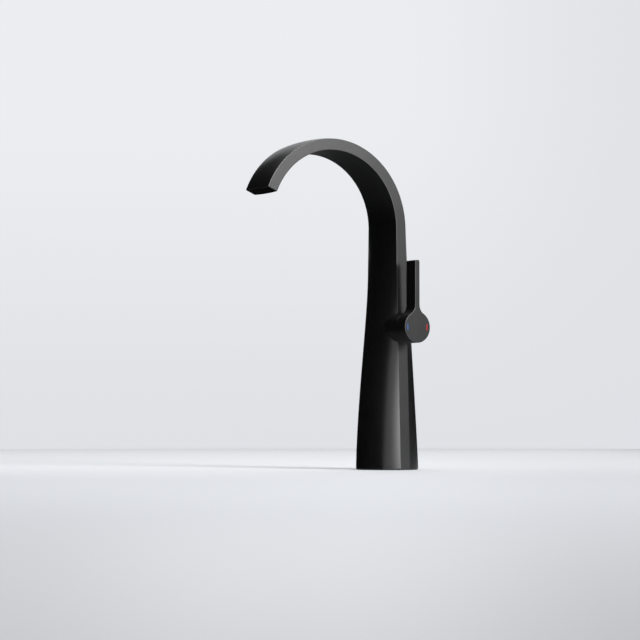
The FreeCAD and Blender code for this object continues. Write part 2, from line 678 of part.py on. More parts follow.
for name, y, z in PORTS:
    base_cuts += [
        cylinder(f"{name}_base_port", "dims.port_radius", "dims.cartridge_base_height + 2",
                 f"{BASE_BACK} - 1", y, z, "X"),
        cylinder(f"{name}_seal_seat", "dims.port_seal_outer + dims.slip",
                 "dims.port_seal_height - dims.port_seal_proud + 1", f"{BASE_BACK} - 1", y, z, "X"),
    ]
    fixed_cuts.append(cylinder(f"{name}_disc_port", "dims.port_radius", "dims.disc_height + 2",
                               f"{FIXED_BACK} - 1", y, z, "X"))
    port_seals.append(cut(f"{name}_port_seal", cylinder(
        f"{name}_seal_outside", "dims.port_seal_outer", "dims.port_seal_height",
        "dims.chamber_floor", y, z, "X"), [cylinder(
            f"{name}_seal_inside", "dims.port_seal_inner", "dims.port_seal_height",
            "dims.chamber_floor", y, z, "X")]))
nodes["port_seals"] = joined("port_seals", port_seals)
nodes["cartridge_base"] = cut("cartridge_base", cylinder(
    "cartridge_base_blank", CASE_OUTER, "dims.cartridge_base_height", BASE_BACK, "0", HUB, "X"), base_cuts)
nodes["fixed_disc"] = cut("fixed_disc", cylinder(
    "fixed_disc_blank", "dims.fixed_disc_radius", "dims.disc_height", FIXED_BACK, "0", HUB, "X"), fixed_cuts)
nodes["cartridge_case"] = turned("cartridge_case", [
    (FIXED_BACK, "dims.case_bore_radius"),
    (NECK_BACK, "dims.case_bore_radius"),
    (NECK_BACK, "dims.neck_bore_radius"),
    (NECK_FRONT, "dims.neck_bore_radius"),
    (NECK_FRONT, "dims.case_neck_radius"),
    (SHOULDER, "dims.case_neck_radius"),
    (SHOULDER, CASE_OUTER),
    (FIXED_BACK, CASE_OUTER),
], z=HUB)
NUT_FRONT = f"({SHOULDER} + dims.nut_height)"
nut_blank = turned("nut_blank", [
    (SHOULDER, "dims.case_neck_radius + dims.cartridge_clearance"),
    (NUT_FRONT, "dims.case_neck_radius + dims.cartridge_clearance"),
    (NUT_FRONT, f"{CASE_OUTER} - 0.5"),
    (f"{NUT_FRONT} - 0.5", CASE_OUTER),
    (SHOULDER, CASE_OUTER),
], z=HUB)
nodes["cartridge_nut"] = cut("cartridge_nut", nut_blank, [
    box("nut_slot_level", "dims.nut_slot + 1", f"2 * {CASE_OUTER} + 2", "dims.nut_slot",
        f"{NUT_FRONT} - dims.nut_slot", "0", HUB),
    box("nut_slot_upright", "dims.nut_slot + 1", "dims.nut_slot", f"2 * {CASE_OUTER} + 2",
        f"{NUT_FRONT} - dims.nut_slot", "0", HUB),
])

# Mixing disc and its carrier: they slide on the fixed disc and turn with the turret.
nodes["moving_disc"] = cut("moving_disc", cylinder(
    "moving_disc_blank", "dims.moving_disc_radius", "dims.disc_height", MOVING_BACK, "0", HUB, "X"), [
        cylinder("mixing_hollow", "dims.mixing_hollow_radius", "dims.mixing_hollow_depth + 1",
                 f"{MOVING_BACK} - 1", "0", HUB, "X")])
nodes["disc_carrier"] = cut("disc_carrier", cylinder(
    "carrier_blank", "dims.moving_disc_radius", "dims.carrier_height", CARRIER_BACK, "0", HUB, "X"), [
        cylinder("carrier_eye", "dims.carrier_eye_radius", "dims.carrier_height + 2",
                 f"{CARRIER_BACK} - 1", "0", HUB, "X")])

# Turret: turns in the neck of the case and carries the pivot pin.
TURRET_RADIUS = "(dims.neck_bore_radius - 0.08)"
TURRET_FRONT = f"({NECK_FRONT} + dims.turret_nose)"
RING_BACK = f"({NECK_BACK} + 0.8)"
RING_FLOOR = f"({TURRET_RADIUS} - dims.turret_ring_depth)"
turret_blank = turned("turret_blank", [
    (TURRET_BACK, "0"),
    (TURRET_FRONT, "0"),
    (TURRET_FRONT, TURRET_RADIUS),
    (f"{RING_BACK} + dims.turret_ring_width", TURRET_RADIUS),
    (f"{RING_BACK} + dims.turret_ring_width", RING_FLOOR),
    (RING_BACK, RING_FLOOR),
    (RING_BACK, TURRET_RADIUS),
    (f"{TURRET_BACK} + dims.turret_flange_height", TURRET_RADIUS),
    (f"{TURRET_BACK} + dims.turret_flange_height", "dims.turret_flange_radius"),
    (TURRET_BACK, "dims.turret_flange_radius"),
], z=HUB)
PIN_START = "-dims.pivot_pin_length / 2"
nodes["spindle_turret"] = cut("spindle_turret", turret_blank, [
    box("turret_slot", f"{TURRET_FRONT} - {TURRET_BACK} + 2", "dims.turret_slot_width",
        "dims.turret_slot_height", f"{TURRET_BACK} - 1", "0", HUB),
    cylinder("turret_pin_hole", "dims.pivot_pin_radius + dims.slip", "dims.pivot_pin_length + 4",
             "dims.pivot_reach", f"{PIN_START} - 2", HUB, "Y"),
])
nodes["turret_seal"] = turned("turret_seal", [
    (f"{RING_BACK} + dims.slip", RING_FLOOR),
    (f"{RING_BACK} + dims.turret_ring_width - dims.slip", RING_FLOOR),
    (f"{RING_BACK} + dims.turret_ring_width - dims.slip", f"{TURRET_RADIUS} + 0.03"),
    (f"{RING_BACK} + dims.slip", f"{TURRET_RADIUS} + 0.03"),
], z=HUB)
nodes["pivot_pin"] = cylinder("pivot_pin", "dims.pivot_pin_radius", "dims.pivot_pin_length",
                              "dims.pivot_reach", PIN_START, HUB, "Y")

# Hub dome: screwed over the front of the valve block, it clamps the shell's hub.
DOME_BORE = "(dims.block_radius + dims.cartridge_clearance)"
DOME_INNER = "(dims.dome_radius - dims.dome_wall)"


def on_sphere(radius, height):
    """X of a point on a sphere round the pivot, at a height off the hub axis."""
    return f"(dims.pivot_reach + sqrt(({radius}) ^ 2 - ({height}) ^ 2))"


nodes["hub_dome"] = turned("hub_dome", [
    ("dims.hub_end", DOME_BORE),
    (on_sphere(DOME_INNER, DOME_BORE), DOME_BORE, DOME_INNER, -1),
    (on_sphere(DOME_INNER, "dims.dome_opening"), "dims.dome_opening"),
    (on_sphere("dims.dome_radius", "dims.dome_opening"), "dims.dome_opening", "dims.dome_radius", 1),
    (on_sphere("dims.dome_radius", "dims.hub_radius"), "dims.hub_radius"),
    ("dims.hub_end + 0.2", "dims.hub_radius"),
    ("dims.hub_end", "dims.hub_radius - 0.2"),
], z=HUB)

# Lever: round cup with a thin upright blade; a spindle, a grub screw and its cap belong to it.
LEVER_REAR = on_sphere("dims.cup_radius", "dims.hub_radius")
HALF_BLADE = "(dims.blade_width / 2)"
FILLET_SUM = "(dims.hub_radius + dims.blade_fillet)"
FILLET_REACH = f"({HALF_BLADE} + dims.blade_fillet)"
FILLET_TOP = f"sqrt({FILLET_SUM} ^ 2 - {FILLET_REACH} ^ 2)"
CUP_Y = f"(dims.hub_radius * {FILLET_REACH} / {FILLET_SUM})"
CUP_Z = f"(dims.hub_radius * {FILLET_TOP} / {FILLET_SUM})"
CORNER_Y = f"({HALF_BLADE} - dims.blade_corner)"
CORNER_Z = "(dims.blade_reach - dims.blade_corner)"
lever_blank = padded("lever_blank", [
    (HALF_BLADE, FILLET_TOP),
    (HALF_BLADE, CORNER_Z, "dims.blade_corner", 1),
    (CORNER_Y, "dims.blade_reach"),
    (f"-{CORNER_Y}", "dims.blade_reach", "dims.blade_corner", 1),
    (f"-{HALF_BLADE}", CORNER_Z),
    (f"-{HALF_BLADE}", FILLET_TOP, "dims.blade_fillet", -1),
    (f"-{CUP_Y}", CUP_Z, "dims.hub_radius", 1, "long"),
    (CUP_Y, CUP_Z, "dims.blade_fillet", -1),
], LEVER_REAR, f"dims.lever_front - {LEVER_REAR}")
doc.recompute()
lever_round = lever_blank.newObject("PartDesign::Fillet", "lever_round")
pad = doc.getObject("lever_blank_pad")
front_x = pad.Shape.BoundBox.XMax
rim = [f"Edge{i}" for i, edge in enumerate(pad.Shape.Edges, 1) if edge.BoundBox.XMin > front_x - 0.01]
lever_round.Base = (pad, rim)
bind(lever_round, Radius="dims.lever_round")
lever_blank.Tip = lever_round

cup = doc.addObject("Part::Sphere", "lever_cup")
bind(cup, Radius="dims.cup_radius")
move(cup, "dims.pivot_reach", "0", HUB)
GRUB_TOP = f"({HUB} - dims.spindle_height / 2)"


def mark(name, sign, play, start, depth):
    """A rounded arc near the rim of the lever's face, on its front or its rear side."""
    wide = f"(dims.mark_width / 2 - {play})"
    pieces = []
    reach = f"(dims.mark_radius + {wide})"
    sector = doc.addObject("Part::Cylinder", f"{name}_sector")
    bind(sector, Radius=reach, Height=depth, Angle="dims.mark_angle * 1 deg")
    facing = 90 if sign == "" else -90
    spin = FreeCAD.Rotation(FreeCAD.Vector(0, 0, 1), facing - number("dims.mark_angle") / 2)
    sector.Placement = FreeCAD.Placement(FreeCAD.Vector(), ALONG["X"] * spin)
    move(sector, start, "0", HUB)
    core = cylinder(f"{name}_core", f"dims.mark_radius - {wide}", f"{depth} + 2", f"{start} - 1", "0", HUB, "X")
    pieces.append(cut(f"{name}_arc", sector, [core]))
    for end, way in (("upper", "+"), ("lower", "-")):
        pieces.append(cylinder(
            f"{name}_{end}", wide, depth, start,
            f"{sign}dims.mark_radius * cos(dims.mark_angle * 0.5 deg)",
            f"{HUB} {way} dims.mark_radius * sin(dims.mark_angle * 0.5 deg)", "X"))
    return joined(name, pieces)


MARK_START = "dims.lever_front - dims.mark_depth"
nodes["lever"] = cut("lever", lever_blank, [
    cup,
    box("spindle_socket", f"dims.spindle_end + 0.2 - {LEVER_REAR}", "dims.spindle_width + 2 * dims.slip",
        "dims.spindle_height + 2 * dims.slip", LEVER_REAR, "0", HUB),
    cylinder("grub_hole", "dims.grub_radius + dims.slip", "dims.hub_radius",
             "dims.grub_place", "0", GRUB_TOP, "-Z"),
    mark("cold_pocket", "-", "0", MARK_START, "dims.mark_depth + 1"),
    mark("hot_pocket", "", "0", MARK_START, "dims.mark_depth + 1"),
])
nodes["cold_mark"] = mark("cold_mark", "-", "dims.slip", MARK_START, "dims.mark_depth")
nodes["hot_mark"] = mark("hot_mark", "", "dims.slip", MARK_START, "dims.mark_depth")
SPINDLE_BACK = "(dims.pivot_reach - dims.spindle_back)"
spindle_blank = joined("spindle_blank", [
    box("spindle_bar", f"dims.spindle_end - {SPINDLE_BACK}", "dims.spindle_width", "dims.spindle_height",
        SPINDLE_BACK, "0", HUB),
    cylinder("spindle_finger", "dims.finger_radius", "dims.finger_reach",
             "dims.pivot_reach - dims.finger_reach", "0", HUB, "X"),
])
nodes["spindle"] = cut("spindle", spindle_blank, [
    cylinder("spindle_eye", "dims.pivot_pin_radius + dims.pivot_play", "dims.spindle_width + 2",
             "dims.pivot_reach", "-dims.spindle_width / 2 - 1", HUB, "Y")])
hex_socket = doc.addObject("Part::Prism", "grub_hex_socket")
hex_socket.Polygon = 6
bind(hex_socket, Circumradius="dims.grub_hex / sqrt(3)", Height="dims.grub_length * 0.4")
move(hex_socket, "dims.grub_place", "0", f"{GRUB_TOP} - dims.grub_length")
nodes["grub_screw"] = cut("grub_screw", cylinder(
    "grub_blank", "dims.grub_radius", "dims.grub_length", "dims.grub_place", "0", GRUB_TOP, "-Z"), [hex_socket])
nodes["screw_cap"] = cylinder("screw_cap", "dims.grub_radius", "dims.cap_depth", "dims.grub_place", "0",
                              f"{HUB} - dims.hub_radius + dims.cap_sunk")

doc.recompute()
faults = [o.Name for o in doc.Objects if "Invalid" in o.State or "Error" in o.State]
if faults:
    raise RuntimeError(f"objects in error: {faults}")
os.makedirs("parts", exist_ok=True)
for name, made in nodes.items():
    made.Label = name
    if made.Shape.isNull() or not made.Shape.isValid():
        raise RuntimeError(f"{name} has no valid shape")
    made.Shape.exportStep(f"parts/{name}.step")
    extent = made.Shape.BoundBox
    print(f"{name}: {len(made.Shape.Solids)} solid, {made.Shape.Volume:.1f} mm3, "
          f"x {extent.XMin:.2f} {extent.XMax:.2f} y {extent.YMin:.2f} {extent.YMax:.2f} "
          f"z {extent.ZMin:.2f} {extent.ZMax:.2f}")
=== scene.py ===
# %% [markdown]
# # A matt black basin mixer
#
# The tap comes as an engineer's model: every solid has its true size and place, in metres, with the
# deck at height zero. This lesson dresses it. Pieces that the eye never reaches keep their solid
# and take a finish. The others are made again as clean meshes with softened edges.

# %% Load the tap's solids
import math

import bmesh
import bpy
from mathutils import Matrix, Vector


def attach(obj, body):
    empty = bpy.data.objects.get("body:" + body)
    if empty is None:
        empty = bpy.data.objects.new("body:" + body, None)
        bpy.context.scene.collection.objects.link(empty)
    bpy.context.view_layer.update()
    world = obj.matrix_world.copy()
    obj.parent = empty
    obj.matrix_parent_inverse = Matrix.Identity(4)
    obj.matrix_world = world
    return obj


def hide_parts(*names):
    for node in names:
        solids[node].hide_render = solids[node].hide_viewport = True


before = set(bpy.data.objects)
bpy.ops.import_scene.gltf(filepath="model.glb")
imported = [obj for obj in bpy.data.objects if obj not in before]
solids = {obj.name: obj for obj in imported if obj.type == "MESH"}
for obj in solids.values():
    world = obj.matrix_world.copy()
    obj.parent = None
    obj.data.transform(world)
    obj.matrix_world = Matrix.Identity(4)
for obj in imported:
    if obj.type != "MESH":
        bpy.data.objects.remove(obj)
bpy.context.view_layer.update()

# %% [markdown]
# ## The camera
#
# A long lens from about two metres keeps the column's sides nearly parallel. The camera stands low,
# just above the deck, and looks up a little. It could be aimed by an empty and a constraint, but a
# direction turned into a rotation needs no extra object.

# %% Place the camera
LENS_PLACE = Vector((1.7228, -1.2410, 0.0471))
LENS_AIM = Vector((-0.82876, 0.55740, 0.04951))
FOCAL_LENGTH, SENSOR_WIDTH = 117.03, 36


def stand(name, data, place, aim):
    """Put a camera or a lamp in its place, looking along a direction."""
    thing = bpy.data.objects.new(name, data)
    thing.location = place
    thing.rotation_mode = "QUATERNION"
    thing.rotation_quaternion = aim.to_track_quat("-Z", "Y")
    bpy.context.scene.collection.objects.link(thing)
    return thing


lens = bpy.data.cameras.new("long_lens")
lens.lens = FOCAL_LENGTH
lens.sensor_width = SENSOR_WIDTH
bpy.context.scene.camera = stand("camera", lens, LENS_PLACE, LENS_AIM)
print(f"camera {LENS_PLACE.length:.2f} m from the middle of the foot")

# %% [markdown]
# ## Writing finishes as sums
#
# A finish is a tree of nodes, and most of it is arithmetic: a speckle times a strength, one minus a
# mask. Wired by hand that becomes a thicket. Here a small class holds one output socket and knows
# how to add, subtract, multiply and divide, so a sum in Python leaves the right Math nodes behind.

# %% A socket that can be added and multiplied
class Wire:
    """One output socket of a node tree, ready for sums."""

    def __init__(self, board, socket):
        self.board = board
        self.socket = socket

    def reckon(self, operation, first, second):
        return self.board.node("ShaderNodeMath", {"operation": operation}, {0: first, 1: second})

    def __add__(self, other):
        return self.reckon("ADD", self, other)

    def __sub__(self, other):
        return self.reckon("SUBTRACT", self, other)

    def __rsub__(self, other):
        return self.reckon("SUBTRACT", other, self)

    def __mul__(self, other):
        return self.reckon("MULTIPLY", self, other)

    def __truediv__(self, other):
        return self.reckon("DIVIDE", self, other)

    def __rtruediv__(self, other):
        return self.reckon("DIVIDE", other, self)

    __radd__ = __add__
    __rmul__ = __mul__


class Board:
    """A node tree that nodes are laid on."""

    def __init__(self, tree):
        self.tree = tree
        self.tree.nodes.clear()

    def node(self, kind, settings=None, sockets=None, out=0):
        """Add a node: its settings first, then its sockets; the answer is one of its outputs."""
        made = self.tree.nodes.new(kind)
        for name, value in (settings or {}).items():
            setattr(made, name, value)
        for name, value in (sockets or {}).items():
            if isinstance(value, Wire):
                self.tree.links.new(value.socket, made.inputs[name])
            else:
                made.inputs[name].default_value = value
        return Wire(self, made.outputs[out]) if made.outputs else None


print("a sum of sockets now lays its own Math nodes")

# %% [markdown]
# ## What every finish shares
#
# Each finish ends in a Principled shader. Numbers that are the same all over go straight onto its
# sockets, and only what changes over the surface is wired: colour, roughness and a bump. Patterns
# are measured in the tap's own metres, so a grain has one size on every piece.

# %% Helpers for finishes
def spot_on_tap(board):
    """The place of a spot in the tap's own metres."""
    return board.node("ShaderNodeTexCoord", out="Object")


def speckle(board, size, detail=2.0, stretch=None):
    """Cloudy noise from 0 to 1 whose blotches are about `size` metres across."""
    spot = spot_on_tap(board)
    if stretch:
        spot = board.node("ShaderNodeVectorMath", {"operation": "MULTIPLY"}, {0: spot, 1: stretch})
    return board.node("ShaderNodeTexNoise", {}, {"Vector": spot, "Scale": 1 / size, "Detail": detail})


def eased(value, first, last):
    """A soft step from 0 to 1 while the value goes from first to last."""
    return value.board.node("ShaderNodeMapRange", {"interpolation_type": "SMOOTHSTEP"},
                            {"Value": value, "From Min": first, "From Max": last})


def between(share, first, second):
    """A colour between two, by a share from 0 to 1; a Mix node's colours are 6, 7 and output 2."""
    ends = [end if isinstance(end, Wire) else (*end, 1) for end in (first, second)]
    return share.board.node("ShaderNodeMix", {"data_type": "RGBA"},
                            {0: share, 6: ends[0], 7: ends[1]}, out=2)


def raised(height, proud, strength):
    """A bump whose full height stands `proud` metres out of the surface."""
    return height.board.node("ShaderNodeBump", {},
                             {"Height": height, "Distance": proud, "Strength": strength})


def finish_of(name, recipe, *numbers):
    """A material whose Principled shader gets the sockets that a recipe lays out from its numbers."""
    made = bpy.data.materials.new(name)
    made.use_nodes = True
    board = Board(made.node_tree)
    shader = board.node("ShaderNodeBsdfPrincipled", {"distribution": "GGX"}, recipe(board, *numbers))
    board.node("ShaderNodeOutputMaterial", {}, {"Surface": shader})
    print(f"finish {name}: {len(made.node_tree.nodes)} nodes")
    return made


print("speckles, soft steps, mixed colours and bumps are ready")

# %% [markdown]
# ## The matt black coat
#
# Body, hub and lever wear a fine baked coat, nearly black, with a broad soft sheen. A flat colour
# with a high roughness would look like paper. So a very fine grain goes into a shallow bump, and a
# slow cloudiness shifts colour and roughness a little. Surfaces that face down catch less of the
# spray, so a mask made from the normal leaves the coat drier and duller there.

# %% Matt black
COAT_GRAIN, COAT_CLOUD = 0.00045, 0.022
COAT_DARK, COAT_LIGHT = (0.0030, 0.0030, 0.0032), (0.0050, 0.0050, 0.0052)
COAT_ROUGH, UNEVEN_ROUGH, DRY_ROUGH, COAT_GLOSS = 0.27, 0.05, 0.55, 0.75
COAT_PROUD, COAT_BUMP = 0.000015, 0.6
LEVEL, DOWN = 0.0, -0.5


def black_coat(board):
    grain = speckle(board, COAT_GRAIN)
    cloud = speckle(board, COAT_CLOUD, detail=3.0)
    facing = board.node("ShaderNodeTexCoord", out="Normal")
    upward = board.node("ShaderNodeSeparateXYZ", {}, {0: facing}, out="Z")
    under = eased(upward, LEVEL, DOWN)
    return {
        "Base Color": between(cloud, COAT_DARK, COAT_LIGHT),
        "Roughness": COAT_ROUGH + UNEVEN_ROUGH * cloud + UNEVEN_ROUGH * grain + DRY_ROUGH * under,
        "Specular IOR Level": COAT_GLOSS,
        "Normal": raised(grain, COAT_PROUD, COAT_BUMP),
    }


matt_black = finish_of("matt_black_coat", black_coat)

# %% [markdown]
# ## Rubber and moulded plastics
#
# Seals are soft black rubber: dull, with a slightly uneven skin. The plastic parts come out of
# spark-worn moulds, so they carry a fine even roughness. The ceramic discs are pressed and
# polished. Each could have its own recipe, but they differ only in numbers, so one recipe and a
# table serve for all.

# %% Rubber and plastics
MOULD_CLOUD, MOULD_ROUGH, MOULD_BUMP = 0.009, 0.12, 0.7


def moulded(board, dark, light, dullness, grain_size, proud, gloss):
    grain = speckle(board, grain_size, detail=4.0)
    cloud = speckle(board, MOULD_CLOUD)
    return {
        "Base Color": between(cloud, dark, light),
        "Roughness": dullness + MOULD_ROUGH * grain,
        "Specular IOR Level": gloss,
        "Normal": raised(grain, proud, MOULD_BUMP),
    }


# dark and light colour, dullness, size and height of the grain, gloss
MOULDINGS = {
    "black_rubber": ((0.012, 0.012, 0.012), (0.022, 0.021, 0.020), 0.66, 0.0006, 0.00004, 0.5),
    "black_plastic": ((0.005, 0.005, 0.005), (0.009, 0.009, 0.009), 0.70, 0.0003, 0.00002, 0.2),
    "grey_plastic": ((0.19, 0.20, 0.21), (0.25, 0.26, 0.27), 0.38, 0.0003, 0.00002, 0.5),
    "white_tube": ((0.66, 0.67, 0.66), (0.76, 0.77, 0.75), 0.30, 0.0005, 0.00002, 0.5),
    "white_ceramic": ((0.74, 0.73, 0.70), (0.82, 0.81, 0.78), 0.10, 0.0002, 0.000004, 0.5),
}
black_rubber, black_plastic, grey_plastic, white_tube, white_ceramic = [
    finish_of(name, moulded, *numbers) for name, numbers in MOULDINGS.items()]

# %% [markdown]
# ## Turned brass and steel
#
# Brass and steel parts come off a lathe. The cutter leaves rings a tenth or two of a millimetre
# wide, and they make bare metal look like metal. They run round the column's own axis, so the
# distance from that axis, put through a sine, is their height. One speckle makes them wander and a
# stretched one scuffs them, because no cutter runs perfectly even.

# %% Turned metal
# radians of wave in a metre, radians that the speckle shifts them by, and their share of the height
RING_WAVES, RING_WANDER, RING_SHARE = 42000, 9, 0.5
WANDER_SIZE, SCUFF_SIZE, SCUFF_STRETCH = 0.004, 0.0012, (1, 1, 0.15)
SCUFF_ROUGH, RING_ROUGH = 0.10, 0.03
METAL_PROUD, METAL_BUMP = 0.000006, 0.6


def turned_metal(board, dark, light, dullness):
    flat = board.node("ShaderNodeVectorMath", {"operation": "MULTIPLY"},
                      {0: spot_on_tap(board), 1: (1, 1, 0)})
    reach = board.node("ShaderNodeVectorMath", {"operation": "LENGTH"}, {0: flat}, out="Value")
    wander = speckle(board, WANDER_SIZE, detail=3.0)
    waves = reach * RING_WAVES + wander * RING_WANDER
    ring = board.node("ShaderNodeMath", {"operation": "SINE"}, {0: waves})
    scuff = speckle(board, SCUFF_SIZE, detail=4.0, stretch=SCUFF_STRETCH)
    return {
        "Base Color": between(wander, dark, light),
        "Metallic": 1.0,
        "Roughness": dullness + SCUFF_ROUGH * scuff + RING_ROUGH * ring,
        "Normal": raised(ring * RING_SHARE + scuff, METAL_PROUD, METAL_BUMP),
    }


plain_brass = finish_of("plain_brass", turned_metal, (0.62, 0.42, 0.17), (0.74, 0.53, 0.25), 0.22)
bright_steel = finish_of("bright_steel", turned_metal, (0.50, 0.50, 0.49), (0.62, 0.62, 0.61), 0.20)

# %% [markdown]
# ## Blue and red enamel
#
# The two temperature marks are filled with enamel. Baked enamel has a soft gloss and is a shade
# uneven where it pooled in its pocket. It could be plain colour, but a little cloud and a slow
# ripple keep it from looking printed.

# %% Enamel
PUDDLE, ENAMEL_ROUGH, PUDDLE_ROUGH, ENAMEL_GLOSS = 0.0016, 0.42, 0.10, 0.2
ENAMEL_PROUD, ENAMEL_BUMP = 0.00004, 0.4


def enamel(board, dark, light):
    puddle = speckle(board, PUDDLE)
    return {
        "Base Color": between(puddle, dark, light),
        "Roughness": ENAMEL_ROUGH + PUDDLE_ROUGH * puddle,
        "Specular IOR Level": ENAMEL_GLOSS,
        "Normal": raised(puddle, ENAMEL_PROUD, ENAMEL_BUMP),
    }


blue_enamel = finish_of("blue_enamel", enamel, (0.024, 0.056, 0.150), (0.036, 0.078, 0.200))
red_enamel = finish_of("red_enamel", enamel, (0.210, 0.014, 0.017), (0.280, 0.022, 0.024))

# %% [markdown]
# ## Finishes for the solids that stay
#
# Tubes, seals, valve block and cartridge sit inside, where nobody sees them. Their solids are right
# as they are and only take a finish. A table from finish to pieces is easier to mend than twenty
# assignments.

# %% Dress the solids
SOLID_CREASE = 35


def dress(piece, finish, crease=SOLID_CREASE):
    """Give a piece its finish and smooth all but edges sharper than the crease angle."""
    piece.data.materials.clear()
    piece.data.materials.append(finish)
    piece.data.shade_smooth()
    piece.data.set_sharp_from_angle(angle=math.radians(crease))


INSIDE = (
    (plain_brass, ("valve_block", "cartridge_nut", "spindle", "cold_inlet_tube", "hot_inlet_tube")),
    (bright_steel, ("foot_screws", "pivot_pin", "grub_screw")),
    (white_tube, ("spout_tube",)),
    (white_ceramic, ("fixed_disc", "moving_disc")),
    (grey_plastic, ("cartridge_base", "cartridge_case", "spindle_turret", "disc_carrier")),
    (black_plastic, ("outlet_manifold",)),
    (black_rubber, ("inlet_tube_seals", "spout_tube_seal", "aerator_seal", "port_seals", "turret_seal")),
)
for finish, names in INSIDE:
    for name in names:
        dress(solids[name], finish)
print(f"dressed {sum(len(names) for _, names in INSIDE)} solids")

# %% [markdown]
# ## Meshes from rings
#
# Nearly every piece of this tap is a row of rings with a skin over them: the band is a slice
# carried along a path, and a turned part is an outline carried round an axis. Modifiers could loft
# and revolve as well, but rings worked out in Python put every point exactly where it belongs.

# %% Rings and skins
MM = 0.001
SAME_SPOT = 0.002 * MM


def piece_from(name, points, faces):
    """A new piece in the scene out of points and faces."""
    mesh = bpy.data.meshes.new(name)
    mesh.from_pydata(points, [], faces)
    piece = bpy.data.objects.new(name, mesh)
    bpy.context.scene.collection.objects.link(piece)
    return piece


def cleaned(piece):
    """Merge points that coincide, drop bare lines and turn all faces outwards."""
    work = bmesh.new()
    work.from_mesh(piece.data)
    bmesh.ops.remove_doubles(work, verts=work.verts, dist=SAME_SPOT)
    bare = [edge for edge in work.edges if edge.is_wire]
    bmesh.ops.delete(work, geom=bare, context="EDGES")
    bmesh.ops.recalc_face_normals(work, faces=work.faces)
    work.to_mesh(piece.data)
    work.free()
    return piece


def strips(rows, count, start=0, closed=False):
    """Faces between neighbouring rings, and from the last to the first if closed."""
    faces = []
    for row in range(rows if closed else rows - 1):
        here = start + row * count
        there = start + (row + 1) % rows * count
        for step in range(count):
            after = (step + 1) % count
            faces.append((here + step, here + after, there + after, there + step))
    return faces


def skin(name, *shells, closed=False):
    """One piece out of rows of rings, closed or capped."""
    points, faces = [], []
    for rings in shells:
        start, count = len(points), len(rings[0])
        points += [point for ring in rings for point in ring]
        faces += strips(len(rings), count, start, closed)
        if not closed:
            faces.append(tuple(range(start, start + count)))
            faces.append(tuple(range(len(points) - count, len(points))))
    return cleaned(piece_from(name, points, faces))


print("rows of rings can be closed or capped")

# %% [markdown]
# ## Turned parts
#
# Rings, plugs and drilled holes are outlines carried round an axis. No real edge is razor sharp:
# its small curve catches the light and tells the eye how large a part is. A bevel modifier would
# give such curves, but it would also find edges that should stay. Here each corner of an outline
# says how soft it is, and a spare point beside its curve keeps the next flat looking flat.

# %% Softened outlines, turned round an axis
SPARE, SOFT_STEPS, TURN_STEPS = 1.5, 4, 128


def even(first, last, steps):
    """Numbers at even steps from first to last."""
    return [first + (last - first) * k / steps for k in range(steps + 1)]


def circle(steps):
    """Cosine and sine of a whole turn in steps."""
    return [(math.cos(turn), math.sin(turn)) for turn in even(0, math.tau, steps)[:-1]]


def softened(corners):
    """Take the sharpness off a closed outline; a corner is (along, out, softness)."""
    outline = []
    for index, (along, out, softness) in enumerate(corners):
        corner = Vector((along, out))
        if not softness:
            outline.append(corner)
            continue
        before = (Vector(corners[index - 1][:2]) - corner).normalized() * softness
        after = (Vector(corners[(index + 1) % len(corners)][:2]) - corner).normalized() * softness
        outline.append(corner + before * SPARE)
        for share in even(0, 1, SOFT_STEPS):
            outline.append(corner + before * (1 - share) ** 2 + after * share ** 2)
        outline.append(corner + after * SPARE)
    return outline


def spun(name, outlines, middle, axis="Z"):
    """A skin over closed outlines of (along, radius) points, set at even turns about X or Z."""
    rings = []
    for (c, s), outline in zip(circle(len(outlines)), outlines):
        if axis == "X":
            ring = [Vector((along, out * s, out * c)) for along, out in outline]
        else:
            ring = [Vector((out * c, out * s, along)) for along, out in outline]
        rings.append([(point + Vector(middle)) * MM for point in ring])
    return skin(name, rings, closed=True)


def turned(name, outline, middle=(0, 0, 0), steps=TURN_STEPS, axis="Z"):
    """A piece turned from one closed outline."""
    return spun(name, [outline] * steps, middle, axis)


print(f"a softened corner has {SOFT_STEPS + 3} points, and a turned part {TURN_STEPS} rings")

# %% [markdown]
# ## Welding, cutting and putting in place
#
# A casting is poured first and drilled afterwards, and the meshes go the same way: a boolean welds
# a boss on or cuts a hole out. It could stay a modifier, but its result is kept as plain mesh, so
# nothing is left to work out later. A finished piece takes its coat, rides on its body and stands
# for its solid.

# %% Weld, cut and settle
MESH_CREASE = 30


def cut(piece, tool, way="DIFFERENCE"):
    """Cut a tool's solid out of a piece; the tool is used up."""
    step = piece.modifiers.new(way, "BOOLEAN")
    step.operation = way
    step.solver = "EXACT"
    step.object = tool
    bpy.context.view_layer.update()
    shaped = piece.evaluated_get(bpy.context.evaluated_depsgraph_get())
    mesh = bpy.data.meshes.new_from_object(shaped)
    piece.modifiers.clear()
    piece.data = mesh
    bpy.data.objects.remove(tool)
    cleaned(piece)


def weld(piece, tool):
    """Weld a tool's solid on instead."""
    cut(piece, tool, "UNION")


def settle(piece, finish, slot, body, *nodes):
    """Give a new piece its finish and let it stand for its solids on their body."""
    dress(piece, finish, MESH_CREASE)
    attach(piece, body)
    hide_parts(*nodes)
    work = bmesh.new()
    work.from_mesh(piece.data)
    loose = sum(not edge.is_manifold for edge in work.edges)
    print(f"{piece.name}: {len(work.verts)} points, {len(work.faces)} faces, {loose} loose edges")
    work.free()


print("tools for welding and cutting are ready")

# %% [markdown]
# ## The bent band: its path and its slices
#
# Column and spout are one band. Its path goes straight up to the neck and then round a bend. A
# slice square to the path has two flat edges and two crowned faces. The crowns swell at the foot
# until the slice is nearly round, and they fade towards the mouth. All of that depends smoothly on
# the length along the path, called the run. Subdividing a rough cage would round away the long
# creases that the eye follows.

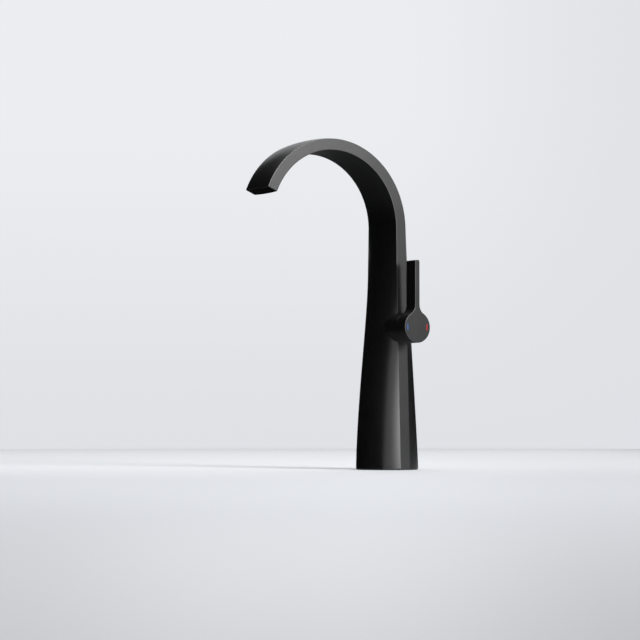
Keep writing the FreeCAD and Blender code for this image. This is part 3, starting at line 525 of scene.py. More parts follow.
# %% Path and slices of the band
FOOT_HALF, NECK_HALF, MOUTH_HALF = 31.5, 24.4, 20.6
BAND = 11.3
NECK = 245.5
BEND = 78.85
BEND_TURN = math.radians(157.7)
WHOLE = NECK + BEND * BEND_TURN
FOOT_SWELL, MOUTH_SWELL = 25.95, 1.2
FRONT_FADE = (288, 1.68, 1.65)
REAR_FADE = (385, 1.2, 1.2)
CREASE = 0.35
EDGE_SHARES = (0.0, 0.5, 0.92)
CREASE_STEPS, FACE_STEPS, FACE_SPARE = 5, 18, 0.2


def half_width(run):
    """A smooth taper through the widths at foot, neck and mouth."""
    foot = FOOT_HALF * (run - NECK) * (run - WHOLE) / (NECK * WHOLE)
    neck = NECK_HALF * run * (WHOLE - run) / (NECK * (WHOLE - NECK))
    mouth = MOUTH_HALF * run * (run - NECK) / (WHOLE * (WHOLE - NECK))
    return foot + neck + mouth


def swell(run, fade, power, tail):
    """How far a face stands out beyond the band's edges."""
    gone = min(1, run / fade) ** power
    return MOUTH_SWELL + (FOOT_SWELL - MOUTH_SWELL) * (1 - gone) ** tail


def quarter(side, edge, crown):
    """From the middle of a flat edge, round the softened crease, to the top of a crown."""
    radius = (side ** 2 + crown ** 2) / (2 * crown)
    lean = math.asin(side / radius)
    turn = math.pi / 2 - lean
    trim = CREASE * math.tan(turn / 2)
    points = [(side, (edge - trim) * share) for share in EDGE_SHARES]
    for angle in even(0, turn, CREASE_STEPS):
        points.append((side - CREASE + CREASE * math.cos(angle), edge - trim + CREASE * math.sin(angle)))
    for step in (FACE_SPARE, *range(1, FACE_STEPS + 1)):
        angle = (lean - trim / radius) * (1 - step / FACE_STEPS)
        points.append((radius * math.sin(angle), edge + crown - radius + radius * math.cos(angle)))
    return points


def on_path(run, x, out, slide=0.0):
    """A point beside the path: across it, out from the bend's middle, and slid the way it heads."""
    turn = max(0, run - NECK) / BEND
    onward = Vector((0, -math.sin(turn), math.cos(turn)))
    outward = Vector((0, math.cos(turn), math.sin(turn)))
    middle = Vector((0, BEND * (math.cos(turn) - 1), min(run, NECK) + BEND * math.sin(turn)))
    return (middle + Vector((x, 0, 0)) + outward * out + onward * slide) * MM


def slice_of(run, inset=0.0, slide=0.0):
    """The band's outline at a run, drawn in by `inset` and slid the way the path heads."""
    side = half_width(run) - inset
    edge = BAND / 2 - inset
    rear = quarter(side, edge, swell(run, *REAR_FADE))
    front = quarter(side, edge, swell(run, *FRONT_FADE))
    outline = rear + [(-x, out) for x, out in reversed(rear[:-1])]
    outline += [(-x, -out) for x, out in front[1:]] + [(x, -out) for x, out in reversed(front[1:-1])]
    return [on_path(run, x, out, slide) for x, out in outline]


print(f"the band's path is {WHOLE:.1f} mm long and a slice has {len(slice_of(0))} points")

# %% [markdown]
# ## The bent band: the hollow casting
#
# The real body is a hollow casting, open at the foot and at the mouth. A Solidify modifier would
# give it a wall, but no pocket for the spray outlet. So the skin starts at the foot's rim, climbs
# to the mouth, turns over the lip, goes down into the pocket and comes back down inside, closed on
# itself.

# %% Cast the band
DECK_GAP = 1.0
FOOT_RIM, LIP, FLAT_SPARE = 0.25, 0.4, 0.3
WALL = 2.2
POCKET_DEPTH, POCKET_WALL, POCKET_EDGE, POCKET_SPARE = 6.8, 1.707, 0.2, 0.5
COLUMN_STEPS, BEND_STEPS, INNER_STEPS, ROUND_STEPS, POCKET_STEPS = 64, 100, 60, 5, 3


def quarter_turn(steps):
    """Sine and cosine of a quarter turn in steps."""
    return [(math.sin(turn), math.cos(turn)) for turn in even(0, math.pi / 2, steps)]


def slices(first, last, steps, inset=0.0):
    """Slices at even steps from one run to another."""
    return [slice_of(run, inset) for run in even(first, last, steps)]


rings = [slice_of(DECK_GAP, FOOT_RIM + FLAT_SPARE)]
for s, c in quarter_turn(ROUND_STEPS):
    rings.append(slice_of(DECK_GAP + FOOT_RIM * (1 - c), FOOT_RIM * (1 - s)))
rings += slices(DECK_GAP + FOOT_RIM + FLAT_SPARE, NECK, COLUMN_STEPS)
rings += slices(NECK, WHOLE - LIP - FLAT_SPARE, BEND_STEPS)[1:]
for s, c in quarter_turn(ROUND_STEPS):
    rings.append(slice_of(WHOLE - LIP + LIP * s, LIP * (1 - c)))
for inset in (LIP + POCKET_EDGE, POCKET_WALL - 2 * POCKET_EDGE):
    rings.append(slice_of(WHOLE, inset))
for s, c in quarter_turn(POCKET_STEPS):
    rings.append(slice_of(WHOLE, POCKET_WALL - POCKET_EDGE + POCKET_EDGE * s, POCKET_EDGE * (c - 1)))
for depth in (POCKET_SPARE, POCKET_DEPTH):
    rings.append(slice_of(WHOLE, POCKET_WALL, -depth))
rings += slices(WHOLE - POCKET_DEPTH, DECK_GAP, INNER_STEPS, WALL)
body = skin("bent_body", rings, closed=True)
print(f"{len(rings)} slices make the band")

# %% [markdown]
# ## The bent band: hub and screw lugs
#
# A round hub grows out of the column's side and takes the valve. Inside the foot two lugs take the
# screws of the foot plate. Both are part of the casting. Loose bars would show a seam, so they are
# welded on and then bored out.

# %% Weld on the hub and the lugs
HUB_HEIGHT = 143.0
HUB_MIDDLE = (0, 0, HUB_HEIGHT)
HUB_START, HUB_END, HUB_RADIUS, HUB_BORE, HUB_SOFT = 14.0, 30.0, 15.66, 14.3, 0.2
PLATE_TOP = 7.0
LUG_PLACE, LUG_RADIUS, LUG_TOP, LUG_SOFT, LUG_STEPS = 24.0, 5.6, PLATE_TOP + 13.0, 0.4, 48
LUG_HOLE, LUG_ROOF, LUG_HOLE_STEPS = 2.05, 1.0, 32
OVERCUT, BORE_OVERCUT = 1.0, 4.0


def bar(first, last, radius, softness=0.0):
    """The outline of a round bar; only its far end is softened."""
    return softened([(first, 0, 0), (last, 0, 0), (last, radius, softness), (first, radius, 0)])


hub = bar(HUB_START, HUB_END, HUB_RADIUS, HUB_SOFT)
weld(body, turned("hub", hub, HUB_MIDDLE, axis="X"))
bore = bar(HUB_START - BORE_OVERCUT, HUB_END + BORE_OVERCUT, HUB_BORE)
cut(body, turned("bore", bore, HUB_MIDDLE, axis="X"))
lug = bar(PLATE_TOP, LUG_TOP, LUG_RADIUS, LUG_SOFT)
lug_hole = bar(PLATE_TOP - OVERCUT, LUG_TOP - LUG_ROOF, LUG_HOLE)
for place in (-LUG_PLACE, LUG_PLACE):
    weld(body, turned("lug", lug, (place, 0, 0), LUG_STEPS))
    cut(body, turned("lug_hole", lug_hole, (place, 0, 0), LUG_HOLE_STEPS))
settle(body, matt_black, "matt_black", "tap_body", "body_shell")

# %% [markdown]
# ## The foot plate: a tool for threads
#
# A brass plate closes the foot from below. Two hoses screw into it and one stud pulls the tap down
# onto the deck. A thread could be a bump, but a bump has no crests at the hole's edge. So each hole
# is cut with its own tap: a turned tool whose radius rises and falls along its length, and whose
# waves climb by one pitch in a turn.

# %% Make a tool for threads
ROWS_A_PITCH, TAP_STEPS = 6, 40
MOUTH_DEPTH, MOUTH_FLARE = 0.4, 1.4
TOOTH_SLOPE, TOOTH_FLAT = 1.4, 0.2


def thread_tap(name, radius, end, pitch, tooth, middle, beyond):
    """A tool for a threaded hole with a chamfered mouth; `beyond` is the outline past the thread."""
    first = DECK_GAP + tooth + MOUTH_DEPTH
    rows = round((end - first) / pitch * ROWS_A_PITCH)
    outlines = []
    for step in range(TAP_STEPS):
        outline = [(0, 0), (0, radius + tooth + MOUTH_FLARE)]
        for height in even(first, end, rows):
            fade = min(1, (height - first) / pitch, (end - height) / pitch)
            wave = abs(2 * ((height / pitch - step / TAP_STEPS) % 1) - 1)
            crest = min(1, max(0, TOOTH_SLOPE * wave - TOOTH_FLAT))
            outline.append((height, radius + tooth * fade * crest))
        outlines.append(outline + beyond)
    return spun(name, outlines, middle)


print(f"a thread has {ROWS_A_PITCH} rows of {TAP_STEPS} points in a pitch")

# %% [markdown]
# ## The foot plate: turned and tapped
#
# The plate is turned with a thick neck that reaches up into the foot. Each inlet then gets its
# thread from below and, above it, a smooth seat with a groove for the seal of a tube. The stud gets
# a blind thread, and the two screws get stepped holes, so that their heads stay clear of the deck.

# %% Turn and tap the foot plate
PLATE_RADIUS, PLATE_SOFT = 28.2, 0.3
PLATE_NECK, NECK_TOP, NECK_SOFT, NECK_FILLET = 17.0, 18.0, 0.8, 1.0
PORT_PLACE, PORT_RADIUS, PORT_END, PORT_PITCH, PORT_TOOTH = 6.0, 4.5, 11.0, 1.0, 0.5
STUD_PLACE, STUD_RADIUS, STUD_END, STUD_PITCH, STUD_TOOTH = 11.5, 3.4, 14.0, 1.25, 0.6
WAY_RADIUS, SOCKET_RADIUS, SOCKET_FLOOR = 3.1, 4.05, 13.0
RING_RADIUS, RING_LOW, RING_HIGH = 5.4, 15.05, 16.45
SCREW_HOLE, SCREW_STEPS = 2.25, 40
RECESS, RECESS_TOP, RECESS_STEPS = 3.8, 3.6, 48

plate = turned("tapped_foot_plate", softened([
    (DECK_GAP, 0, 0),
    (DECK_GAP, PLATE_RADIUS, PLATE_SOFT),
    (PLATE_TOP, PLATE_RADIUS, PLATE_SOFT),
    (PLATE_TOP, PLATE_NECK + NECK_FILLET, 0),
    (PLATE_TOP + NECK_FILLET, PLATE_NECK, 0),
    (NECK_TOP, PLATE_NECK, NECK_SOFT),
    (NECK_TOP, 0, 0),
]))
seat = [
    (PORT_END, WAY_RADIUS), (SOCKET_FLOOR, WAY_RADIUS), (SOCKET_FLOOR, SOCKET_RADIUS),
    (RING_LOW, SOCKET_RADIUS), (RING_LOW, RING_RADIUS),
    (RING_HIGH, RING_RADIUS), (RING_HIGH, SOCKET_RADIUS),
    (NECK_TOP + OVERCUT, SOCKET_RADIUS), (NECK_TOP + OVERCUT, 0),
]
for place in (-PORT_PLACE, PORT_PLACE):
    port = thread_tap("port", PORT_RADIUS, PORT_END, PORT_PITCH, PORT_TOOTH, (0, place, 0), seat)
    cut(plate, port)
stud = thread_tap("stud", STUD_RADIUS, STUD_END, STUD_PITCH, STUD_TOOTH,
                  (-STUD_PLACE, 0, 0), [(STUD_END, 0)])
cut(plate, stud)
screw_hole, recess = bar(0, PLATE_TOP + OVERCUT, SCREW_HOLE), bar(0, RECESS_TOP, RECESS)
for place in (-LUG_PLACE, LUG_PLACE):
    cut(plate, turned("screw_hole", screw_hole, (place, 0, 0), SCREW_STEPS))
    cut(plate, turned("recess", recess, (place, 0, 0), RECESS_STEPS))
settle(plate, plain_brass, "plain_brass", "tap_body", "foot_plate")

# %% [markdown]
# ## The deck seal
#
# A soft ring seals the foot to the deck and hides the plate's screws. Such rings have a few ribs
# underneath, which the weight presses flat. It is a turned part, and the grooves between the ribs
# are only more corners.

# %% Turn the deck seal
SEAL_INNER, SEAL_OUTER = 18.5, 31.0
GROOVES, GROOVE_WIDTH, GROOVE_SLOPE, GROOVE_DEPTH = (21.5, 25.5), 1.5, 0.3, 0.35
RIB_SOFT, FLOOR_SOFT, INNER_SOFT, OUTER_SOFT = 0.1, 0.08, 0.15, 0.25

seal_corners = [(DECK_GAP, SEAL_INNER, RIB_SOFT), (0, SEAL_INNER, INNER_SOFT)]
for groove in GROOVES:
    seal_corners += [
        (0, groove, RIB_SOFT),
        (GROOVE_DEPTH, groove + GROOVE_SLOPE, FLOOR_SOFT),
        (GROOVE_DEPTH, groove + GROOVE_WIDTH - GROOVE_SLOPE, FLOOR_SOFT),
        (0, groove + GROOVE_WIDTH, RIB_SOFT),
    ]
seal_corners += [(0, SEAL_OUTER, OUTER_SOFT), (DECK_GAP, SEAL_OUTER, RIB_SOFT)]
seal = turned("ribbed_deck_seal", softened(seal_corners))
settle(seal, black_rubber, "black_rubber", "tap_body", "deck_seal")

# %% [markdown]
# ## The spray outlet: its frame
#
# The mouth is closed by a plastic frame with a slot. The frame fills the mouth's pocket, so its
# rings are the band's own slices, drawn in a little more. The slot is cut by a rounded oblong that
# widens at the front, which leaves a chamfer all round.

# %% Make the spray frame
FRAME_INSET, FRAME_BACK, FRAME_FRONT = 1.857, -5.8, -0.8
FRAME_CHAMFER, FRAME_ROUND, FRAME_FLAT, FRAME_STEPS = 0.2, 0.25, 0.4, 4
SLOT_WIDE, SLOT_HIGH, SLOT_CORNER, SLOT_CHAMFER, SLOT_STEPS = 15.8, 2.4, 0.4, 0.3, 4


def oblong(grow, slide):
    """A rounded oblong across the mouth, larger than the slot by `grow`."""
    ring = []
    for index, (right, up) in enumerate(((1, 1), (-1, 1), (-1, -1), (1, -1))):
        for step in range(SLOT_STEPS + 1):
            angle = math.pi / 2 * (index + step / SLOT_STEPS)
            x = right * (SLOT_WIDE - SLOT_CORNER) + (SLOT_CORNER + grow) * math.cos(angle)
            out = up * (SLOT_HIGH - SLOT_CORNER) + (SLOT_CORNER + grow) * math.sin(angle)
            ring.append(on_path(WHOLE, x, out, slide))
    return ring


frame_rings = [
    slice_of(WHOLE, FRAME_INSET + FRAME_CHAMFER, FRAME_BACK),
    slice_of(WHOLE, FRAME_INSET, FRAME_BACK + FRAME_CHAMFER),
]
for s, c in quarter_turn(FRAME_STEPS):
    inset, slide = FRAME_INSET + FRAME_ROUND * (1 - c), FRAME_FRONT - FRAME_ROUND * (1 - s)
    frame_rings.append(slice_of(WHOLE, inset, slide))
frame_rings.append(slice_of(WHOLE, FRAME_INSET + FRAME_FLAT, FRAME_FRONT))
frame_piece = skin("spray_frame", frame_rings)
window = [
    oblong(0, FRAME_BACK - OVERCUT),
    oblong(0, FRAME_FRONT - SLOT_CHAMFER),
    oblong(2 * SLOT_CHAMFER, FRAME_FRONT + SLOT_CHAMFER),
]
cut(frame_piece, skin("window", window))
settle(frame_piece, black_plastic, "black_plastic", "tap_body", "aerator_frame")

# %% [markdown]
# ## The spray outlet: its jets
#
# In the slot sits a grid of little jets. Each stands out as a short nozzle, so that scale can be
# rubbed off. A cut for every jet would be slow, so all nozzles are one tool that is welded on, and
# all bores are one tool that is cut out.

# %% Make the jets
GRID_PLAY, GRID_FRONT, GRID_CHAMFER = 0.05, -1.4, 0.2
JET_COLUMNS, JET_PITCH, JET_ROW, JET_BORE, JET_STEPS = 12, 2.6, 1.1, 0.6, 20
# where a nozzle's rings lie along the path, and their radius, from root to tip
NOZZLE = ((GRID_FRONT - 1.5, 0.98), (FRAME_FRONT - 0.12, 0.90), (FRAME_FRONT - 0.03, 0.82))


def jet_rings(profile):
    """For each jet, its rings from a profile of (slide, radius)."""
    jets = []
    for column in range(JET_COLUMNS):
        x = JET_PITCH * (column - (JET_COLUMNS - 1) / 2)
        for y in (-JET_ROW, JET_ROW):
            jets.append([
                [on_path(WHOLE, x + radius * c, y + radius * s, slide) for c, s in circle(JET_STEPS)]
                for slide, radius in profile
            ])
    return jets


grid = skin("spray_grid", [
    oblong(-GRID_PLAY, FRAME_BACK),
    oblong(-GRID_PLAY, GRID_FRONT - GRID_CHAMFER),
    oblong(-GRID_PLAY - GRID_CHAMFER, GRID_FRONT),
])
weld(grid, skin("nozzles", *jet_rings(NOZZLE)))
bores = jet_rings([(FRAME_BACK - OVERCUT, JET_BORE), (0, JET_BORE)])
cut(grid, skin("bores", *bores))
settle(grid, black_plastic, "black_plastic", "tap_body", "aerator_grid")

# %% [markdown]
# ## The hub's end ring
#
# A ring with a ball-shaped front screws onto the hub. The lever's cup glides over the ball, so
# their curves share one middle, the point about which the lever tilts. A cut sphere would do, but
# the edges of a turned part can be softened.

# %% Turn the end ring
PIVOT = 24.2
BALL, BALL_WALL, BALL_OPENING = 20.0, 2.5, 9.6
RING_SOFT, BALL_SOFT = 0.25, 0.3
BALL_EDGE, BALL_START = HUB_RADIUS - 0.4, HUB_RADIUS - 0.6
BALL_STEPS, HOLLOW_STEPS = 16, 8


def on_ball(radius, out):
    """How far along the hub a ball about the pivot lies `out` off the axis."""
    return PIVOT + math.sqrt(radius ** 2 - out ** 2)


def ball_arc(radius, first, last, steps):
    """Points on a ball about the pivot, from one distance off the axis to another."""
    return [Vector((on_ball(radius, out), out)) for out in even(first, last, steps)]


ring_outline = softened([
    (HUB_END, HUB_BORE, 0),
    (HUB_END, HUB_RADIUS, RING_SOFT),
    (on_ball(BALL, HUB_RADIUS), HUB_RADIUS, BALL_SOFT),
    (on_ball(BALL, BALL_EDGE), BALL_EDGE, 0),
])
ring_outline += ball_arc(BALL, BALL_START, BALL_OPENING, BALL_STEPS)
ring_outline += ball_arc(BALL - BALL_WALL, BALL_OPENING, HUB_BORE, HOLLOW_STEPS)
end_ring = turned("hub_end_ring", ring_outline, HUB_MIDDLE, axis="X")
settle(end_ring, matt_black, "matt_black", "tap_body", "hub_dome")

# %% [markdown]
# ## The lever: its outline
#
# Seen from the side the lever is a disc with a slim blade growing out of its top through two hollow
# fillets. The outline is walked once round, and every point also knows which way is out. So it can
# be drawn in by any amount, and a rounded rim is a few outlines, each drawn in a little more.

# %% Walk round the lever
BLADE_HALF, BLADE_TOP, BLADE_CORNER, FILLET = 2.81, 67.5, 1.5, 10.6
FILLET_ACROSS = BLADE_HALF + FILLET
FILLET_UP = math.sqrt((HUB_RADIUS + FILLET) ** 2 - FILLET_ACROSS ** 2)
MEET = math.atan2(FILLET_UP, FILLET_ACROSS)
FILLET_STEPS, BLADE_STEPS, CORNER_STEPS, CUP_STEPS = 14, 12, 6, 110


def arc(middle, radius, first, last, steps, way=1):
    """Points on an arc, each with its outward direction; way is -1 for a hollow arc."""
    walk = []
    for angle in even(first, last, steps):
        out = Vector((math.cos(angle), math.sin(angle)))
        walk.append((Vector(middle) + out * radius, out * way))
    return walk


half = arc((FILLET_ACROSS, FILLET_UP), FILLET, math.pi + MEET, math.pi, FILLET_STEPS, -1)
corner_up = BLADE_TOP - BLADE_CORNER
for up in even(FILLET_UP, corner_up, BLADE_STEPS)[1:-1]:
    half.append((Vector((BLADE_HALF, up)), Vector((1, 0))))
half += arc((BLADE_HALF - BLADE_CORNER, corner_up), BLADE_CORNER, 0, math.pi / 2, CORNER_STEPS)
blade_walk = half + [(Vector((-p.x, p.y)), Vector((-n.x, n.y))) for p, n in reversed(half)]
cup_walk = arc((0, 0), HUB_RADIUS, math.pi - MEET, math.tau + MEET, CUP_STEPS)[1:-1]
lever_walk = blade_walk + cup_walk
print(f"the lever's outline has {len(lever_walk)} points")

# %% [markdown]
# ## The lever: its body
#
# The outline is carried from back to front. The front rim is rounded all the way. The back rim is
# rounded along the blade and fades to a thin machined land round the cup's hollow. A bevel of one
# width would run into the hollow, so the rounding follows the room that is left beside it.

# %% Shape the lever
LEVER_BACK, LEVER_FRONT = 37.42, 52.46
FRONT_ROUND, FRONT_STEPS = 0.5, 6
BACK_ROUND, BACK_STEPS, ROUND_SHARE, SPARE_SHARE = 0.4, 4, 0.4, 0.7
CUP = 20.4
CUP_RIM = math.sqrt(CUP ** 2 - (LEVER_BACK - PIVOT) ** 2)


def on_lever(along, across, up):
    """A point of the lever: along the hub, across it and up from its axis."""
    return Vector((along, across, HUB_HEIGHT + up)) * MM


def lever_ring(along, draw_in):
    """The lever's outline, with a place along the hub and an amount to draw in for each point."""
    ring = []
    for (place, out), ahead, amount in zip(lever_walk, along, draw_in):
        point = place - out * amount
        ring.append(on_lever(ahead, *point))
    return ring


count = len(lever_walk)
land = [place.length - CUP_RIM for place, _ in lever_walk]
back_rounds = [min(BACK_ROUND, ROUND_SHARE * width) for width in land]
back_spares = [min(BACK_ROUND + FLAT_SPARE, SPARE_SHARE * width) for width in land]
rings = [lever_ring([LEVER_BACK] * count, back_spares)]
for s, c in quarter_turn(BACK_STEPS):
    along = [LEVER_BACK + amount * (1 - c) for amount in back_rounds]
    rings.append(lever_ring(along, [amount * (1 - s) for amount in back_rounds]))
for ahead in (LEVER_BACK + BACK_ROUND + FLAT_SPARE, LEVER_FRONT - FRONT_ROUND - FLAT_SPARE):
    rings.append(lever_ring([ahead] * count, [0] * count))
for s, c in quarter_turn(FRONT_STEPS):
    ahead, drawn = LEVER_FRONT - FRONT_ROUND * (1 - s), FRONT_ROUND * (1 - c)
    rings.append(lever_ring([ahead] * count, [drawn] * count))
rings.append(lever_ring([LEVER_FRONT] * count, [FRONT_ROUND + FLAT_SPARE] * count))
points = [point for ring in rings for point in ring]
faces = strips(len(rings), count)
faces.append(tuple(range(len(points) - count, len(points))))
print(f"{len(rings)} rings make the lever's sides and front")

# %% [markdown]
# ## The lever: the hollow at its back
#
# The hollow is a part of a ball, made of rings that shrink towards the axis. They have as many
# points as the cup's part of the outline and some more under the blade, so the land between hollow
# and rim closes point by point. One wide face closes the blade's back.

# %% Hollow the cup
CUP_RINGS, TOP_STEPS = 14, 20

top_angles = even(MEET, math.pi - MEET, TOP_STEPS)
cup_angles = top_angles + [math.atan2(p.y, p.x) for p, _ in cup_walk]
cup_count = len(cup_angles)
cup_start = len(points)
for row in range(CUP_RINGS):
    out = CUP_RIM * (1 - row / CUP_RINGS)
    ahead = on_ball(CUP, out)
    points += [on_lever(ahead, out * math.cos(a), out * math.sin(a)) for a in cup_angles]
last = len(points) - cup_count
points.append(on_lever(PIVOT + CUP, 0, 0))
faces += strips(CUP_RINGS, cup_count, cup_start)
faces += [(last + step, last + (step + 1) % cup_count, len(points) - 1) for step in range(cup_count)]
blade_count, top_count = len(blade_walk), len(top_angles)
faces.append((0, *range(cup_start, cup_start + top_count), *range(blade_count - 1, 0, -1)))
outer_land = [blade_count - 1, *range(blade_count, count), 0]
inner_land = [*range(cup_start + top_count - 1, cup_start + cup_count), cup_start]
for step in range(len(outer_land) - 1):
    faces.append((outer_land[step], outer_land[step + 1], inner_land[step + 1], inner_land[step]))
lever = cleaned(piece_from("lever_blade", points, faces))
print(f"lever made of {len(faces)} faces")

# %% [markdown]
# ## The lever: its two marks
#
# A blue and a red mark on the lever's face tell cold from hot. Each is a short rounded arc sunk
# less than half a millimetre into the face. A colour painted on by a mask would be flat, so there
# is a real pocket with real enamel in it. One function serves for both: the enamel is a hair
# smaller than its pocket, and its top is softened.

# %% Cut the pockets and fill the marks
MARK_REACH, MARK_WIDTH, MARK_ANGLE, MARK_STEPS = 12.0, 2.2, math.radians(22), 10
MARK_FLOOR, MARK_PLAY = LEVER_FRONT - 0.4, 0.04
# the levels of a pocket and of its enamel: how far along the hub, and how far drawn in
POCKET = ((MARK_FLOOR, 0), (LEVER_FRONT + OVERCUT, 0))
FILL = ((MARK_FLOOR + 0.002, 0), (LEVER_FRONT - 0.10, 0),
        (LEVER_FRONT - 0.04, 0.05), (LEVER_FRONT - 0.02, 0.14))
MARKS = (("cold_mark_enamel", -math.pi, blue_enamel, "blue_enamel", "cold_mark"),
         ("hot_mark_enamel", 0.0, red_enamel, "red_enamel", "hot_mark"))


def mark_rings(facing, play, levels):
    """Rings over a mark's outline, which is smaller by `play`; a level is (along, draw in)."""
    wide = MARK_WIDTH / 2 - play
    first, last = facing - MARK_ANGLE / 2, facing + MARK_ANGLE / 2
    lower, upper = [(MARK_REACH * math.cos(end), MARK_REACH * math.sin(end)) for end in (first, last)]
    walk = arc((0, 0), MARK_REACH + wide, first, last, MARK_STEPS)
    walk += arc(upper, wide, last, last + math.pi, MARK_STEPS)[1:-1]
    walk += arc((0, 0), MARK_REACH - wide, last, first, MARK_STEPS, -1)
    walk += arc(lower, wide, first + math.pi, first + math.tau, MARK_STEPS)[1:-1]
    return [[on_lever(along, *(place - out * drawn)) for place, out in walk] for along, drawn in levels]


for name, facing, finish, slot, node in MARKS:
    cut(lever, skin("pocket", mark_rings(facing, 0.0, POCKET)))
    settle(skin(name, mark_rings(facing, MARK_PLAY, FILL)), finish, slot, "handle", node)

# %% [markdown]
# ## The lever: spindle socket, grub screw and plug
#
# The lever sits on the square end of the spindle. A grub screw from below holds it there, and a
# plastic plug hides the screw. The socket and the screw's hole are cut by a square bar and a turned
# one. The plug is a turned part with a shallow dish, so that a fingernail finds it.

# %% Bore the lever and plug its hole
CUP_LOW = HUB_HEIGHT - HUB_RADIUS
GRUB_PLACE, GRUB_HOLE, GRUB_END, GRUB_STEPS = (47.2, 0, 0), 2.05, HUB_HEIGHT - 2.2, 48
SOCKET_BACK, SOCKET_END, SOCKET_HALF, SOCKET_RISE = 36.0, 49.6, 2.55, 2.25
CAP_RADIUS, CAP_LOW, CAP_HIGH, CAP_SOFT = 2.0, CUP_LOW + 0.4, CUP_LOW + 3.4, 0.3
CAP_CURVE, CAP_DISH, DISH_EDGE, DISH_SOFT = 0.15, 0.25, 0.8, 0.2

grub_hole = bar(CUP_LOW - OVERCUT, GRUB_END, GRUB_HOLE)
cut(lever, turned("grub_hole", grub_hole, GRUB_PLACE, GRUB_STEPS))
corners = ((-1, -1), (1, -1), (1, 1), (-1, 1))
square = [[on_lever(ahead, y * SOCKET_HALF, z * SOCKET_RISE) for y, z in corners]
          for ahead in (SOCKET_BACK, SOCKET_END)]
cut(lever, skin("socket", square))
settle(lever, matt_black, "matt_black", "handle", "lever")
plug = softened([
    (CAP_LOW + CAP_DISH, 0, 0),
    (CAP_HIGH, 0, 0),
    (CAP_HIGH, CAP_RADIUS, CAP_SOFT),
    (CAP_LOW + CAP_CURVE, CAP_RADIUS, CAP_SOFT),
    (CAP_LOW, CAP_RADIUS - DISH_EDGE, DISH_SOFT),
    (CAP_LOW + CAP_DISH, DISH_EDGE, DISH_SOFT),
])
cap = turned("grub_screw_plug", plug, GRUB_PLACE, GRUB_STEPS)
settle(cap, black_plastic, "black_plastic", "handle", "screw_cap")

# %% [markdown]
# ## The deck
# ## The deck and its painted pool of light
# The tap stands on a pale deck. One flat colour would look like paper, so it carries a slow
# cloud. Over that, its colour carries a painted pool of light. It is painted palest behind the tap,
# where it meets the wall in the wall's own tone. It is painted darker in front to the left and right,
# as painted shade at the edge of the pool, and under the lamps, where it would glare. It has no
# gloss, so apart from these painted tones only the tap's own shadow shows on it.

# %% Lay the deck
VIEW = Vector((LENS_AIM.x, LENS_AIM.y, 0)).normalized()
ACROSS = Vector((VIEW.y, -VIEW.x, 0))
DECK_REACH, DECK_CORNERS = 1.75, 96
POOL_REACH, POOL_SHIFT = 2.2, 0.068
# the deck's tones paint a pool of light: painted light behind, near and far, and painted shade in front,
# at the left and right edges and under the lamps
FRONT_PAINTED_SHADE, BACK_PAINTED_LIGHT, NEAR_PAINTED_LIGHT = (0.695, 0.71, 0.732), (0.84, 0.855, 0.874), (0.785, 0.795, 0.81)
EDGE_PAINTED_SHADE, FAR_PAINTED_LIGHT, LAMP_PAINTED_SHADE = (0.54, 0.552, 0.570), (0.935, 0.945, 0.955), (0.42, 0.43, 0.445)
DECK_CLOUD, CLOUD_SHARE = 0.4, 0.06
# where each tone starts and where it is full
BACK_STEP, NEAR_STEP, FAR_STEP, LAMP_STEP = (-0.45, 0.2), (-1.0, -1.6), (0.3, 1.5), (0.3, 1.0)
# the left and right masks paint shade at the edges of the pool of light
RIGHT_STEP, RIGHT_FADE, RIGHT_SHARE, RIGHT_LOSS = (0.0, 0.15), (-0.4, 0.6), 0.7, 0.4
LEFT_STEP, LEFT_FADE, LEFT_SHARE = (-0.03, -0.15), (-0.6, -1.4), 0.35


def dull(colour):
    """The sockets of a surface with no gloss at all."""
    return {"Base Color": colour, "Roughness": 1.0, "Specular IOR Level": 0.0}


def along_way(spot, direction):
    """How far a spot lies in a direction."""
    return spot.board.node("ShaderNodeVectorMath", {"operation": "DOT_PRODUCT"},
                           {0: spot, 1: direction}, out="Value")


def pale_deck(board):
    spot = spot_on_tap(board)
    depth = along_way(spot, VIEW)
    reach = along_way(spot, ACROSS)
    side = (reach + POOL_SHIFT) / (depth + POOL_REACH)
    # painted shade at the left and right edges of the pool of light
    right = eased(side, *RIGHT_STEP) * (RIGHT_SHARE - RIGHT_LOSS * eased(depth, *RIGHT_FADE))
    left = eased(side, *LEFT_STEP) * (LEFT_SHARE * eased(depth, *LEFT_FADE))
    behind = eased(depth, *BACK_STEP) + CLOUD_SHARE * speckle(board, DECK_CLOUD)
    # painted light: paler behind the tap than in front of it
    tone = between(behind, FRONT_PAINTED_SHADE, BACK_PAINTED_LIGHT)
    tone = between(eased(depth, *NEAR_STEP), tone, NEAR_PAINTED_LIGHT)
    tone = between(left + right, tone, EDGE_PAINTED_SHADE)
    tone = between(eased(depth, *FAR_STEP), tone, FAR_PAINTED_LIGHT)
    # painted shade under the lamps, where the deck would glare
    return dull(between(eased(reach, *LAMP_STEP), tone, LAMP_PAINTED_SHADE))


rim = [Vector((c, s, 0)) * DECK_REACH for c, s in circle(DECK_CORNERS)]
deck = piece_from("deck", rim, [tuple(range(DECK_CORNERS))])
deck.data.materials.append(finish_of("pale_deck", pale_deck))
print(f"deck {2 * DECK_REACH:.1f} m across")

# %% [markdown]
# ## Black cloths
#
# A black object is shaped by what it mirrors. A photographer hangs black cloth on the side that
# should stay deep black: here two on the spout's side, near and far, and a low one behind the tap.
# They would stand in the picture, so the camera doesn't see them, and they throw no shadow on the
# deck.

# %% Hang the black cloths
WEAVE, CLOTH_DARK, CLOTH_LIGHT = 0.02, (0.004, 0.004, 0.004), (0.008, 0.008, 0.008)
CLOTH_STEPS = 24
# name, reach at the deck, reach at the top, height, first and last compass angle
CLOTHS = (
    ("near_cloth", 0.036, 0.24, 0.24, 150, 315),
    ("low_cloth", 0.35, 0.35, 0.155, 55, 140),
    ("far_cloth", 1.9, 1.9, 2.2, 170, 290),
)


def black_cloth(board):
    return dull(between(speckle(board, WEAVE), CLOTH_DARK, CLOTH_LIGHT))


